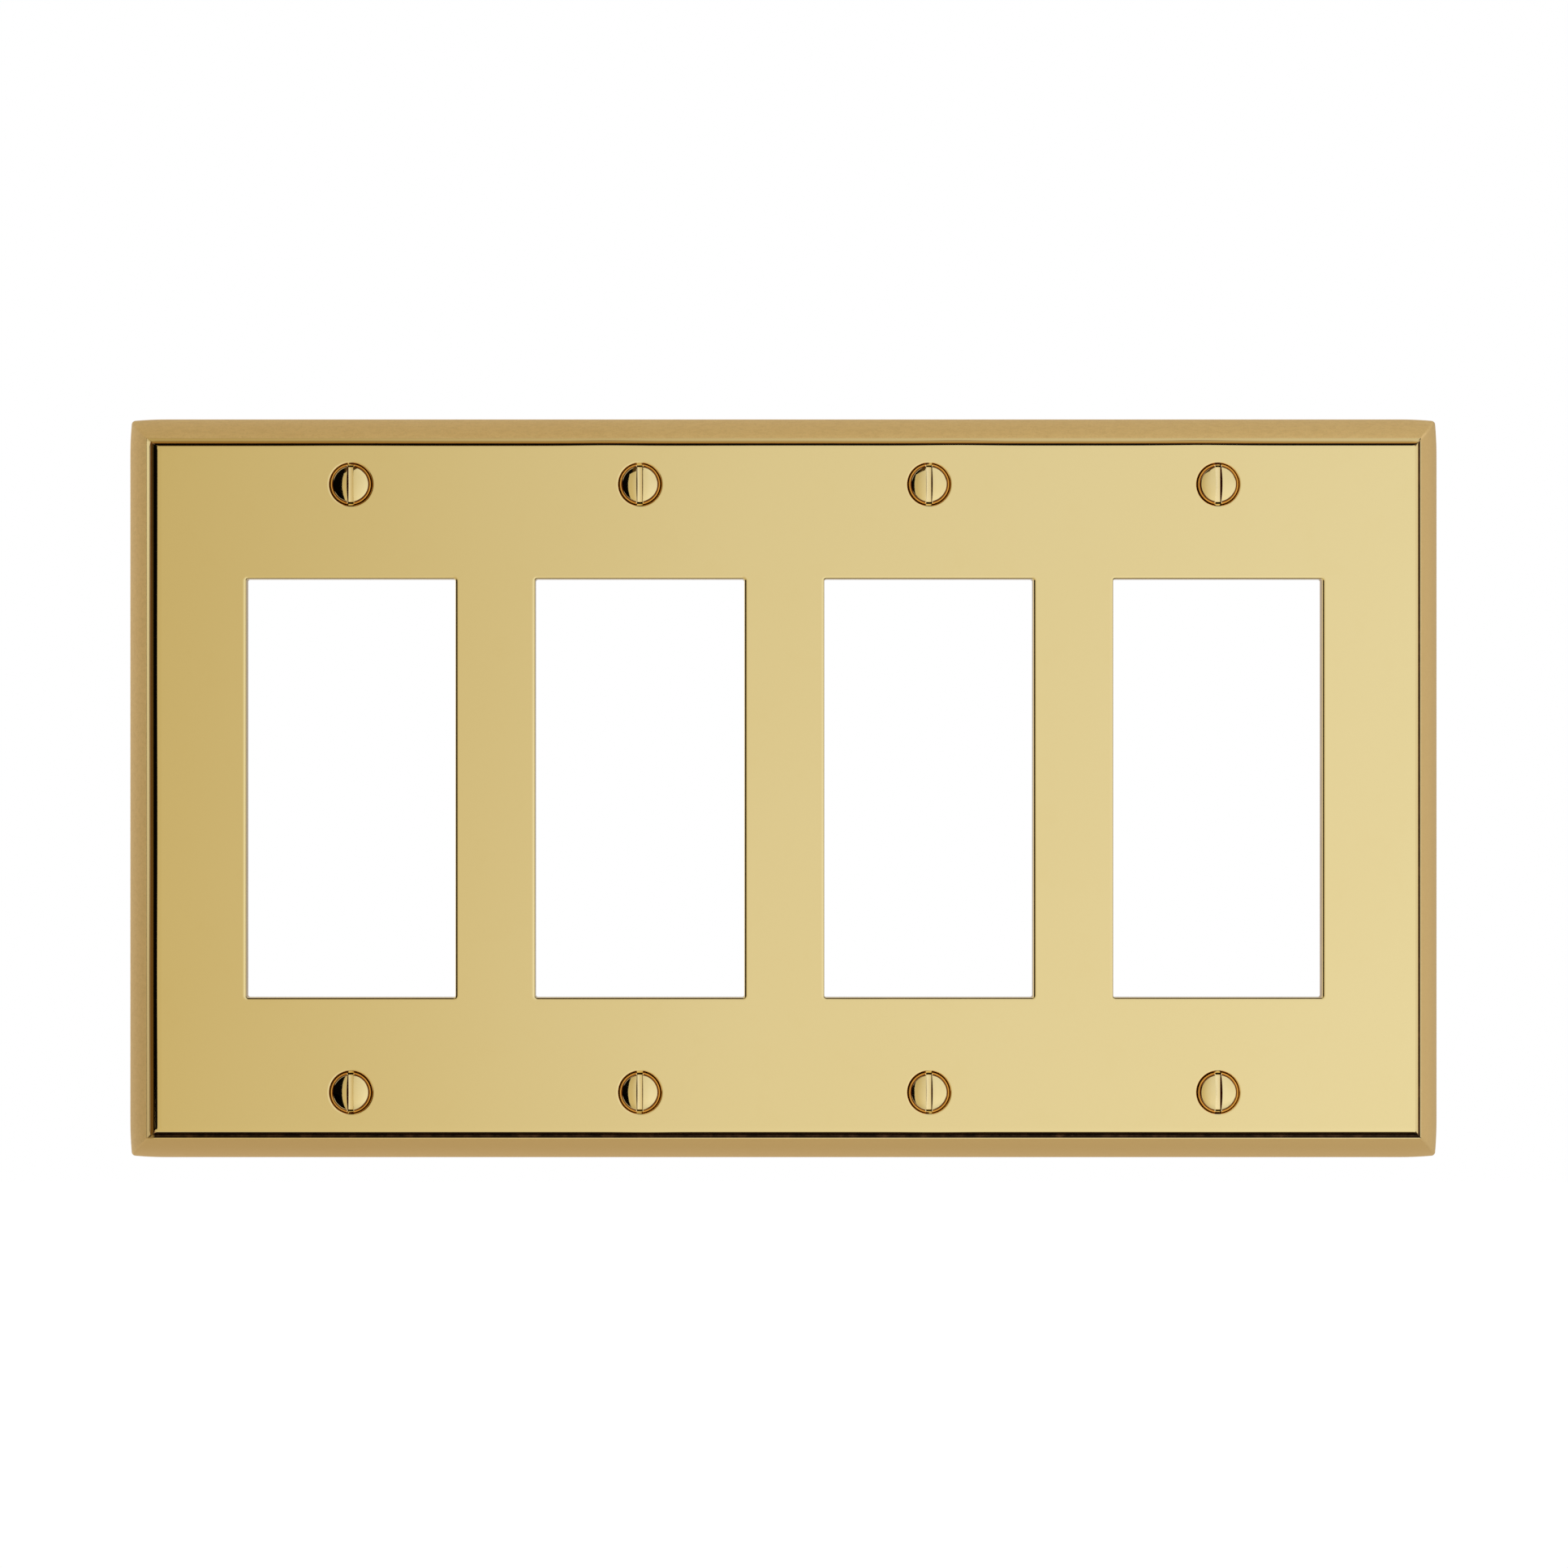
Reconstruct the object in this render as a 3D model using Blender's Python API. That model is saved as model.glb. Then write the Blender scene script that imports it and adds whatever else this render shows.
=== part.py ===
"""Four-gang decorator wall plate in solid brass, with its eight slotted oval-head screws.

Frame: +X along the plate's length, +Z up, and the wall is the plane y = 0. The plate stands on
the room side of the wall, so its polished panel faces -Y. The origin is the plate's centre on the
wall plane. Everything is in metres. A "height" is a distance off the wall, towards -Y, and an
"inset" is a distance in from the plate's outer edge.

Pieces:
  face_plate                   one forging: bevelled border, raised polished panel, hollow back
  screw_top_1..4               6-32 oval-head screws above the openings, in order along +X
  screw_bottom_1..4            the same below the openings
  retaining_washer_*           thin washers that keep each screw captive behind the panel
"""

import math

import bmesh
import bpy
from mathutils import Matrix

MM = 0.001
INCH = 0.0254

# ---- the plate -----------------------------------------------------------------------------
PLATE_WIDTH = 210.7 * MM          # 8 5/16 in nominal, along X
PLATE_HEIGHT = 119.0 * MM         # 4 11/16 in nominal, along Z
PLATE_DEPTH = 6.0 * MM            # wall plane to polished panel
PANEL_THICKNESS = 2.3 * MM        # metal behind the polished face
POCKET_DEPTH = PLATE_DEPTH - PANEL_THICKNESS
RIM_WIDTH = 2.2 * MM              # flat ring that bears on the wall
POCKET_DRAFT = 3.0 * MM           # how far the pocket's side leans in by its floor

# The hollow back from its floor to the wall: inset, height, plan corner radius
POCKET_STATIONS = (
    (RIM_WIDTH + POCKET_DRAFT, POCKET_DEPTH, 1.8 * MM),
    (RIM_WIDTH + 0.85 * POCKET_DRAFT, POCKET_DEPTH - 0.5 * MM, 1.6 * MM),
    (RIM_WIDTH, 0.0, 1.0 * MM),
)

# Slopes are in degrees from the plane of the panel
BORDER_WIDTH = 3.74 * MM          # satin border, outer edge to crest
BORDER_SLOPE_TOP = 36.0           # beside the crest, before the height is fitted
BORDER_SLOPE_FOOT = 72.5          # at the wall, before the height is fitted
BORDER_SEGMENTS = 6
CREST_WIDTH = 0.12 * MM           # rounding of the crest beside the quirk
CREST_RISE = 0.02 * MM            # middle of the rounding, above the border's last point
CREST_DROP = 0.01 * MM            # inner end of the rounding, below the border's last point
QUIRK_WIDTH = 0.34 * MM           # inner fall from the crest to the quirk's floor
QUIRK_RISE = 0.20 * MM            # border's last point above the quirk's floor
CHAMFER_WIDTH = 0.64 * MM         # straight part of the panel's edge, rising from the quirk
CHAMFER_SLOPE = 45.0
EDGE_ROUND = 0.92 * MM            # rounding between the chamfer and the polish roll-off
EDGE_SEGMENTS = 3
ROLL_SLOPE = 9.4                  # where the rounding hands over to the roll-off
ROLL_ROUND = 4.1 * MM             # slow roll-off left by polishing
ROLL_SEGMENTS = 2

OUTER_CORNER = 0.65 * MM          # plan radius of the border's foot
CREST_CORNER = 0.12 * MM          # plan radius of the mitred crest
PANEL_CORNER = 0.38 * MM          # plan radius of the panel's edge
PANEL_CORNER_STEPS = 3            # edge points over which the plan radius grows to that
CORNER_SEGMENTS = 4
CORNER_DRAW_IN = 0.22 * MM        # the border's foot pulls in this much towards a corner
CORNER_DRAW_LENGTH = 5.0 * MM
CORNER_DRAW_SHARES = (0.2, 0.5, 1.0)  # points on each side, as shares of that length

# ---- the openings, at standard device spacing ----------------------------------------------
GANG_PITCH = 1.8125 * INCH        # between device centres
SCREW_SPACING = 3.8125 * INCH     # between a gang's two screws
GANGS = 4
OPENING_WIDTH = 33.3 * MM         # decorator opening
OPENING_HEIGHT = 66.7 * MM
OPENING_CORNER = 0.55 * MM
OPENING_CORNER_SEGMENTS = 3
OPENING_EDGE_ROUND = 0.5 * MM     # rounding of the opening's front edge
OPENING_EDGE_SLOPE = 15.0         # where the rounding gives way to a straight flare
OPENING_EDGE_SEGMENTS = 3
OPENING_FLARE_LENGTH = 0.6 * MM   # straight flare, along its slope

# ---- the screws, 6-32 slotted oval head ----------------------------------------------------
THREAD_MAJOR_R = 1.75 * MM
CLEARANCE_R = 1.95 * MM           # plain hole behind the countersink
COUNTERSINK_R = 3.55 * MM         # countersink mouth at the panel
COUNTERSINK_TAN = math.tan(math.radians(82.0 / 2))  # 82 degree countersink
HEAD_SPHERE_R = 5.5 * MM          # crown of the oval head
HEAD_SPHERE_EDGE_R = 2.95 * MM    # where the crown meets the rounded rim
HEAD_SPHERE_SEGMENTS = 4
HEAD_RIM_ROUND = 0.35 * MM
HEAD_RIM_SEGMENTS = 3
HEAD_PROUD = 0.95 * MM            # crown above the panel
SLOT_WIDTH = 1.08 * MM
SLOT_DEPTH = 1.15 * MM
SLOT_CUTTER_LENGTH = 8.0 * MM     # longer than the head is wide
SCREW_LENGTH = 0.5 * INCH         # from the head's widest circle to the tip
TIP_CHAMFER = 0.45 * MM
TURN_SEGMENTS = 32

# ---- retaining washers ---------------------------------------------------------------------
WASHER_OUTER_R = 3.7 * MM
WASHER_INNER_R = 2.02 * MM
WASHER_THICKNESS = 0.8 * MM
WASHER_EDGE_BREAK = 0.12 * MM
WASHER_FRONT_Y = -1.35 * MM       # leaves the backing-out travel between it and the panel
WASHER_SEGMENTS = 24

CUTTER_OVERRUN = 1.0 * MM         # how far cutters reach past the metal
COUNTERSINK_OVERRUN = 0.8 * MM    # the same, for the countersink in front of the panel
SHARP_DEGREES = 32.0              # edges that turn more than this stay crisp


# ---- scene helpers -------------------------------------------------------------------------


def clear_scene():
    for obj in list(bpy.data.objects):
        bpy.data.objects.remove(obj, do_unlink=True)


def principled(name, colour, roughness, metallic):
    mat = bpy.data.materials.new(name)
    mat.use_nodes = True
    bsdf = mat.node_tree.nodes["Principled BSDF"]
    bsdf.inputs["Base Color"].default_value = (*colour, 1.0)
    bsdf.inputs["Roughness"].default_value = roughness
    bsdf.inputs["Metallic"].default_value = metallic
    mat.diffuse_color = (*colour, 1.0)
    return mat


def add_object(name, data, location=(0, 0, 0), rotation=(0, 0, 0), parent=None):
    obj = bpy.data.objects.new(name, data)
    bpy.context.collection.objects.link(obj)
    obj.location = location
    obj.rotation_euler = rotation
    obj.parent = parent
    return obj


def cut(obj, cutter_mesh, parent=None):
    """Subtract a mesh from obj with a live boolean, and return the hidden cutter object."""
    cutter = add_object(cutter_mesh.name, cutter_mesh, parent=parent)
    cutter.hide_render = True
    cutter.display_type = "WIRE"
    modifier = obj.modifiers.new(cutter.name, "BOOLEAN")
    modifier.operation = "DIFFERENCE"
    modifier.solver = "EXACT"
    modifier.object = cutter
    return cutter


def shade(mesh):
    """Shade smooth, with crisp edges kept."""
    mesh.shade_smooth()
    mesh.set_sharp_from_angle(angle=math.radians(SHARP_DEGREES))


def finish_mesh(bm, name):
    """Turn the bmesh into a shaded mesh with its faces outward."""
    bmesh.ops.recalc_face_normals(bm, faces=bm.faces)
    mesh = bpy.data.meshes.new(name)
    bm.to_mesh(mesh)
    bm.free()
    shade(mesh)
    return mesh


# ---- shape helpers -------------------------------------------------------------------------


def mix(start, end, share):
    return start + (end - start) * share


def arc(start, radius, fall_from, fall_to, segments):
    """Points of a convex arc from start, as (across, up).

    The falls are the slopes at its two ends in degrees, positive where it goes down with
    growing across and negative where it goes up.
    """
    first = math.radians(fall_from)
    points = []
    for i in range(segments + 1):
        angle = math.radians(mix(fall_from, fall_to, i / segments))
        across = start[0] + radius * (math.sin(angle) - math.sin(first))
        up = start[1] + radius * (math.cos(angle) - math.cos(first))
        points.append((across, up))
    return points


def circle(radius, segments):
    angles = [2 * math.pi * i / segments for i in range(segments)]
    return [(radius * math.cos(angle), radius * math.sin(angle)) for angle in angles]


def loft(bm, sections, centre_x=0.0, centre_z=0.0):
    """Skin a list of (height, [(x, z), ...]) sections of equal count, and cap both ends."""
    rings = []
    for height, points in sections:
        rings.append([bm.verts.new((centre_x + x, -height, centre_z + z)) for x, z in points])
    for a, b in zip(rings, rings[1:]):
        for i in range(len(a)):
            j = (i + 1) % len(a)
            bm.faces.new((a[i], a[j], b[j], b[i]))
    bm.faces.new(rings[-1])
    bm.faces.new(list(reversed(rings[0])))


def turned_mesh(name, profile, segments):
    """Spin an (r, z) profile about Z; points on the axis become single vertices."""
    bm = bmesh.new()
    rings = []
    for r, z in profile:
        if r < 1e-9:
            rings.append([bm.verts.new((0.0, 0.0, z))])
        else:
            rings.append([bm.verts.new((x, y, z)) for x, y in circle(r, segments)])
    pairs = list(zip(rings, rings[1:]))
    if len(rings[0]) > 1 and len(rings[-1]) > 1:
        pairs.append((rings[-1], rings[0]))  # a ring-shaped piece closes on itself
    for a, b in pairs:
        for i in range(segments):
            j = (i + 1) % segments
            if len(a) == 1:
                bm.faces.new((a[0], b[i], b[j]))
            elif len(b) == 1:
                bm.faces.new((a[i], b[0], a[j]))
            else:
                bm.faces.new((a[i], b[i], b[j], a[j]))
    return finish_mesh(bm, name)


# ---- the plate -----------------------------------------------------------------------------


def plate_outline(inset, corner_r, draw_in=0.0):
    """The plate's rounded rectangle in X and Z, with the same number of points at any inset.

    Near each corner the sides bend in by up to draw_in.
    """
    half_x, half_z = PLATE_WIDTH / 2 - inset, PLATE_HEIGHT / 2 - inset
    # each side point's distance back from the corner, and how far it is drawn in
    side = [
        (corner_r + share * CORNER_DRAW_LENGTH, draw_in * (1.0 - share) ** 2)
        for share in CORNER_DRAW_SHARES
    ]
    # turn a local (u, v) corner to +X +Z, then +X -Z, -X -Z and -X +Z
    turns = (
        (half_x, half_z, lambda u, v: (u, v)),
        (half_z, half_x, lambda u, v: (v, -u)),
        (half_x, half_z, lambda u, v: (-u, -v)),
        (half_z, half_x, lambda u, v: (-v, u)),
    )
    points = []
    for along, across, place in turns:
        local = [(along - back, across - drawn) for back, drawn in reversed(side)]
        centre_u, centre_v = along - corner_r - draw_in, across - corner_r - draw_in
        local += arc((centre_u, centre_v + corner_r), corner_r, 0.0, 90.0, CORNER_SEGMENTS)
        local += [(along - drawn, across - back) for back, drawn in side]
        points += [place(u, v) for u, v in local]
    return points


def border_profile():
    """The border from its foot to the crest, as (inset, height) on one circular arc."""
    sine_foot = math.sin(math.radians(BORDER_SLOPE_FOOT))
    sine_top = math.sin(math.radians(BORDER_SLOPE_TOP))
    radius = BORDER_WIDTH / (sine_foot - sine_top)
    return arc((0.0, 0.0), radius, -BORDER_SLOPE_FOOT, -BORDER_SLOPE_TOP, BORDER_SEGMENTS)


def panel_edge_profile():
    """The panel's edge from the quirk's floor to the flat, as (inset, height)."""
    chamfer_top = (CHAMFER_WIDTH, CHAMFER_WIDTH * math.tan(math.radians(CHAMFER_SLOPE)))
    rounding = arc(chamfer_top, EDGE_ROUND, -CHAMFER_SLOPE, -ROLL_SLOPE, EDGE_SEGMENTS)
    roll_off = arc(rounding[-1], ROLL_ROUND, -ROLL_SLOPE, 0.0, ROLL_SEGMENTS)
    steps = [(0.0, 0.0)] + rounding + roll_off[1:]
    foot_inset = BORDER_WIDTH + CREST_WIDTH + QUIRK_WIDTH
    foot_height = PLATE_DEPTH - steps[-1][1]
    return [(foot_inset + across, foot_height + up) for across, up in steps]


def build_plate_mesh():
    """One loft: pocket floor, pocket side, bearing rim, border, crest, quirk and panel."""
    border = border_profile()
    edge = panel_edge_profile()
    crest_height = edge[0][1] + QUIRK_RISE
    fit = crest_height / border[-1][1]  # brings the border's top to the crest

    sections = [
        (height, plate_outline(inset, corner)) for inset, height, corner in POCKET_STATIONS
    ]
    for inset, height in border:
        share = inset / BORDER_WIDTH
        corner = mix(OUTER_CORNER, CREST_CORNER, share)
        draw_in = CORNER_DRAW_IN * (1 - share)
        sections.append((height * fit, plate_outline(inset, corner, draw_in)))
    for inset, height in (
        (BORDER_WIDTH + 0.5 * CREST_WIDTH, crest_height + CREST_RISE),
        (BORDER_WIDTH + CREST_WIDTH, crest_height - CREST_DROP),
    ):
        sections.append((height, plate_outline(inset, CREST_CORNER)))
    for i, (inset, height) in enumerate(edge):
        corner = mix(CREST_CORNER, PANEL_CORNER, min(1.0, i / PANEL_CORNER_STEPS))
        sections.append((height, plate_outline(inset, corner)))

    bm = bmesh.new()
    loft(bm, sections)
    return finish_mesh(bm, "face_plate")


# ---- the plate's cutters -------------------------------------------------------------------


def gang_x(index):
    return (index - (GANGS - 1) / 2) * GANG_PITCH


def opening_outline(grow):
    """An opening's rounded rectangle in X and Z, enlarged all round by grow."""
    centre_x = OPENING_WIDTH / 2 - OPENING_CORNER
    centre_z = OPENING_HEIGHT / 2 - OPENING_CORNER
    radius = OPENING_CORNER + grow
    points = []
    for turn, (sign_x, sign_z) in enumerate(((1, 1), (1, -1), (-1, -1), (-1, 1))):
        for i in range(OPENING_CORNER_SEGMENTS + 1):
            angle = math.radians(90.0 * (1 - i / OPENING_CORNER_SEGMENTS) - 90.0 * turn)
            x = sign_x * centre_x + radius * math.cos(angle)
            z = sign_z * centre_z + radius * math.sin(angle)
            points.append((x, z))
    return points


def build_opening_cutters():
    """Rounded prisms that flare at the panel, for the openings' softened front edges."""
    # stations are (grow, height)
    rounding = arc(
        (0.0, PLATE_DEPTH - OPENING_EDGE_ROUND),
        OPENING_EDGE_ROUND,
        -90.0,
        -OPENING_EDGE_SLOPE,
        OPENING_EDGE_SEGMENTS,
    )
    slope = math.radians(OPENING_EDGE_SLOPE)
    flare_grow = rounding[-1][0] + OPENING_FLARE_LENGTH * math.cos(slope)
    flare_height = rounding[-1][1] + OPENING_FLARE_LENGTH * math.sin(slope)
    stations = [
        (0.0, POCKET_DEPTH - CUTTER_OVERRUN),
        *rounding,
        (flare_grow, flare_height),
        (flare_grow, flare_height + CUTTER_OVERRUN),
    ]
    sections = [(height, opening_outline(grow)) for grow, height in stations]
    bm = bmesh.new()
    for gang in range(GANGS):
        loft(bm, sections, centre_x=gang_x(gang))
    return finish_mesh(bm, "opening_cutters")


def build_screw_hole_cutters():
    """Turned cutters, each a countersink and a clearance hole."""
    countersink_depth = (COUNTERSINK_R - CLEARANCE_R) / COUNTERSINK_TAN
    stations = (  # height, radius
        (POCKET_DEPTH - CUTTER_OVERRUN, CLEARANCE_R),
        (PLATE_DEPTH - countersink_depth, CLEARANCE_R),
        (
            PLATE_DEPTH + COUNTERSINK_OVERRUN,
            COUNTERSINK_R + COUNTERSINK_OVERRUN * COUNTERSINK_TAN,
        ),
    )
    sections = [(height, circle(radius, TURN_SEGMENTS)) for height, radius in stations]
    bm = bmesh.new()
    for gang in range(GANGS):
        for side in (1, -1):
            loft(bm, sections, centre_x=gang_x(gang), centre_z=side * SCREW_SPACING / 2)
    return finish_mesh(bm, "screw_hole_cutters")


def add_plate(material, parent):
    plate = add_object("face_plate", build_plate_mesh(), parent=parent)
    plate.data.materials.append(material)
    cut(plate, build_opening_cutters(), parent)
    cut(plate, build_screw_hole_cutters(), parent)


# ---- turned pieces -------------------------------------------------------------------------


def screw_profile():
    """Half section (r, z) of the screw, crown first.

    z = 0 is the level of the panel, and +z is out of the wall.
    """
    edge_fall = math.degrees(math.asin(HEAD_SPHERE_EDGE_R / HEAD_SPHERE_R))
    crown = arc((0.0, HEAD_PROUD), HEAD_SPHERE_R, 0.0, edge_fall, HEAD_SPHERE_SEGMENTS)
    rim = arc(crown[-1], HEAD_RIM_ROUND, edge_fall, 90.0, HEAD_RIM_SEGMENTS)
    rim_r, rim_z = rim[-1]
    tip_z = rim_z - SCREW_LENGTH
    return [
        *crown,
        *rim[1:],
        (THREAD_MAJOR_R, rim_z - (rim_r - THREAD_MAJOR_R) / COUNTERSINK_TAN),
        (THREAD_MAJOR_R, tip_z + TIP_CHAMFER),
        (THREAD_MAJOR_R - TIP_CHAMFER, tip_z),
        (0.0, tip_z),
    ]


def build_slot_cutter():
    """A box along local Y that cuts the driving slot."""
    top, floor = HEAD_PROUD + CUTTER_OVERRUN, HEAD_PROUD - SLOT_DEPTH
    size = Matrix.Diagonal((SLOT_WIDTH, SLOT_CUTTER_LENGTH, top - floor, 1.0))
    place = Matrix.Translation((0, 0, (top + floor) / 2))
    bm = bmesh.new()
    bmesh.ops.create_cube(bm, size=1.0)
    bmesh.ops.transform(bm, matrix=place @ size, verts=bm.verts)
    return finish_mesh(bm, "slot_cutter")


def build_screw_mesh(material):
    """The turned screw with its slot cut, as one mesh that all the screws share."""
    blank_mesh = turned_mesh("screw_blank", screw_profile(), TURN_SEGMENTS)
    blank = add_object("screw_blank", blank_mesh)
    slot = cut(blank, build_slot_cutter())
    graph = bpy.context.evaluated_depsgraph_get()
    mesh = bpy.data.meshes.new_from_object(blank.evaluated_get(graph))
    mesh.name = "slotted_oval_head_screw"
    shade(mesh)
    bpy.data.objects.remove(blank, do_unlink=True)
    bpy.data.objects.remove(slot, do_unlink=True)
    mesh.materials.clear()  # drops any empty slot that came with the boolean
    mesh.materials.append(material)
    return mesh


def build_washer_mesh(material):
    """The washer, z = 0 at its front face, with its outer edges slightly broken."""
    profile = [
        (WASHER_INNER_R, 0.0),
        (WASHER_OUTER_R - WASHER_EDGE_BREAK, 0.0),
        (WASHER_OUTER_R, -WASHER_EDGE_BREAK),
        (WASHER_OUTER_R, -WASHER_THICKNESS + WASHER_EDGE_BREAK),
        (WASHER_OUTER_R - WASHER_EDGE_BREAK, -WASHER_THICKNESS),
        (WASHER_INNER_R, -WASHER_THICKNESS),
    ]
    mesh = turned_mesh("captive_washer", profile, WASHER_SEGMENTS)
    mesh.materials.append(material)
    return mesh


def add_fixings(screw_mesh, washer_mesh, parent):
    """A screw and its washer above and below every opening."""
    # local +Z of a turned piece becomes -Y, out of the wall, and its slot stands upright
    upright = (math.pi / 2, 0.0, 0.0)
    pieces = (
        ("screw", screw_mesh, -PLATE_DEPTH),
        ("retaining_washer", washer_mesh, WASHER_FRONT_Y),
    )
    for row, side in (("top", 1), ("bottom", -1)):
        for gang in range(GANGS):
            for kind, mesh, y in pieces:
                location = (gang_x(gang), y, side * SCREW_SPACING / 2)
                add_object(f"{kind}_{row}_{gang + 1}", mesh, location, upright, parent)


def main():
    clear_scene()
    polished_brass = principled(
        "polished_brass", colour=(0.78, 0.61, 0.30), roughness=0.12, metallic=1.0
    )
    screw_brass = principled(
        "screw_brass", colour=(0.76, 0.58, 0.27), roughness=0.16, metallic=1.0
    )
    washer_nylon = principled(
        "washer_nylon", colour=(0.83, 0.82, 0.76), roughness=0.55, metallic=0.0
    )
    base = add_object("plate_centre_on_wall", None)
    add_plate(polished_brass, base)
    add_fixings(build_screw_mesh(screw_brass), build_washer_mesh(washer_nylon), base)


main()
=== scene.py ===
"""Four-gang decorator wall plate in polished brass, with its eight slotted oval-head screws and
the moulded washers that keep them captive.

+X runs along the plate and +Z is up; the wall is y = 0 and the panel faces -Y. Metres throughout.
Four values for the sides of the plate always come in the order top, right, bottom, left.
"""

import math

import bpy
import bmesh
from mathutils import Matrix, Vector, geometry


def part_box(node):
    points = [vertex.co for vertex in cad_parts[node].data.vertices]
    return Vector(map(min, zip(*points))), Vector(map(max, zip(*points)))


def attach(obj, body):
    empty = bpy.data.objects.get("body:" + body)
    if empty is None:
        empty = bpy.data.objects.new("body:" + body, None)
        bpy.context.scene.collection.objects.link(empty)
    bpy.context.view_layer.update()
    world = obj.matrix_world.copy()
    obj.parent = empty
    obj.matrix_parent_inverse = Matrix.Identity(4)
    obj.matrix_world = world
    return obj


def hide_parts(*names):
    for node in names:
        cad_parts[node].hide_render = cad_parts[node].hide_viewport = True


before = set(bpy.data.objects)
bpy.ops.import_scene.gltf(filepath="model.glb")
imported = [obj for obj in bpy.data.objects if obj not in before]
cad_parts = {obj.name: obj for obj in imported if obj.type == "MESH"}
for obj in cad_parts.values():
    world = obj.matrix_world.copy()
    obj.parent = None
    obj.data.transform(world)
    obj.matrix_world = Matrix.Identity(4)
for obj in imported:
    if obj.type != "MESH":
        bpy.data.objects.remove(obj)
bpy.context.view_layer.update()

MM = 0.001
ROWS = ("top", "bottom")
GANGS = (1, 2, 3, 4)


def mm(*values):
    return [v * MM for v in values]


def cad_box(name):
    low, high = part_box(name)
    return Vector(low), Vector(high)


# ---- sizes taken from the frame ------------------------------------------------------------
low, high = cad_box("face_plate")
HALF_X, HALF_Z = (high.x - low.x) / 2, (high.z - low.z) / 2
DEPTH = -low.y
SCREW_AT = {}
for row in ROWS:
    for gang in GANGS:
        low, high = cad_box(f"screw_{row}_{gang}")
        SCREW_AT[row, gang] = ((low.x + high.x) / 2, (low.z + high.z) / 2)
low, high = cad_box("screw_top_1")
HEAD_PROUD = -low.y - DEPTH
TIP_Y = high.y
low, high = cad_box("retaining_washer_top_1")
WASHER_FRONT_Y = low.y
WASHER_THICKNESS = high.y - low.y
WASHER_OUTER_R = (high.x - low.x) / 2

# ---- section of the plate; angles in degrees from the plane of the panel ---------------------
PANEL_THICKNESS = 2.3 * MM
FLOOR_H = DEPTH - PANEL_THICKNESS  # height of the panel's back face above the wall
SUPPORT_GAP = 0.05 * MM  # from a flat's edge to the loop that keeps its shading flat

BORDER_WIDTHS = mm(3.66, 3.80, 3.66, 3.66)
BORDER_SLOPE_TOP, BORDER_SLOPE_FOOT = 36.0, 72.5
BORDER_STEPS = 26
CREST_R = 0.10 * MM
CREST_HEIGHTS = mm(5.40, 5.22, 5.40, 5.40)
CREST_STEPS = 6
QUIRK_FALL = 34.0  # slope at which the crest's round turns down into the quirk

CHAMFER_FOOTS = mm(4.19, 4.15, 4.16, 4.30)  # inset where the panel's chamfer starts
CHAMFER_TOPS = mm(4.83, 4.75, 4.72, 4.90)
EDGE_ROUNDS = mm(0.50, 0.70, 0.60, 1.10)  # radius of the round above the chamfer
CHAMFER_SLOPE, ROLL_SLOPE, ROLL_ROUND = 45.0, 9.4, 4.1 * MM
ROUND_STEPS = 10  # on the edge's round, and again on the roll

OUTER_CORNER, CREST_CORNER, PANEL_CORNER = mm(0.65, 0.12, 0.38)
CORNER_DRAW_IN, CORNER_DRAW_LENGTH = mm(0.22, 5.0)

OPENING_W, OPENING_H, OPENING_CORNER = mm(33.3, 66.7, 0.34)
OPENING_ROUND, OPENING_BACK_CHAMFER = mm(0.5, 0.10)
COUNTERSINK_R, CLEARANCE_R = mm(3.55, 1.95)
COUNTERSINK_HALF = 41.0
HOLE_ROUND, HOLE_BACK_CHAMFER = mm(0.45, 0.12)
HOLE_STEPS = 72

RIM_WIDTH = 2.2 * MM  # ring that bears on the wall
RIM_EDGE = 0.15 * MM  # broken edge between that ring and the hollow
POCKET_DRAFT = 3.0 * MM
POCKET_FILLET = 0.5 * MM
POCKET_CORNER = 1.0 * MM

# ---- section of a screw and a washer ---------------------------------------------------------
HEAD_SPHERE_R, HEAD_EDGE_R, HEAD_RIM_R = mm(5.5, 2.80, 0.13)
SLOT_W, SLOT_FLOOR_W, SLOT_D, SLOT_FILLET = mm(1.06, 0.82, 1.40, 0.05)
THREAD_PITCH, MAJOR_R, MINOR_R = mm(0.79375, 1.75, 1.28)
WASHER_INNER_R, WASHER_OUTER_ROUND, WASHER_INNER_ROUND = mm(2.02, 0.16, 0.10)


# =============================================================================================
# mesh helpers
# =============================================================================================


def place(name, mesh, location=(0, 0, 0), rotation=(0, 0, 0)):
    obj = bpy.data.objects.new(name, mesh)
    bpy.context.collection.objects.link(obj)
    obj.location, obj.rotation_euler = location, rotation
    return obj


def finish_mesh(bm, mesh, materials, sharp):
    """Writes a bmesh into a mesh, smooth but for edges sharper than an angle in degrees."""
    for material in materials:
        mesh.materials.append(material)
    bm.to_mesh(mesh)
    bm.free()
    mesh.shade_smooth()
    mesh.set_sharp_from_angle(angle=math.radians(sharp))
    return mesh


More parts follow.
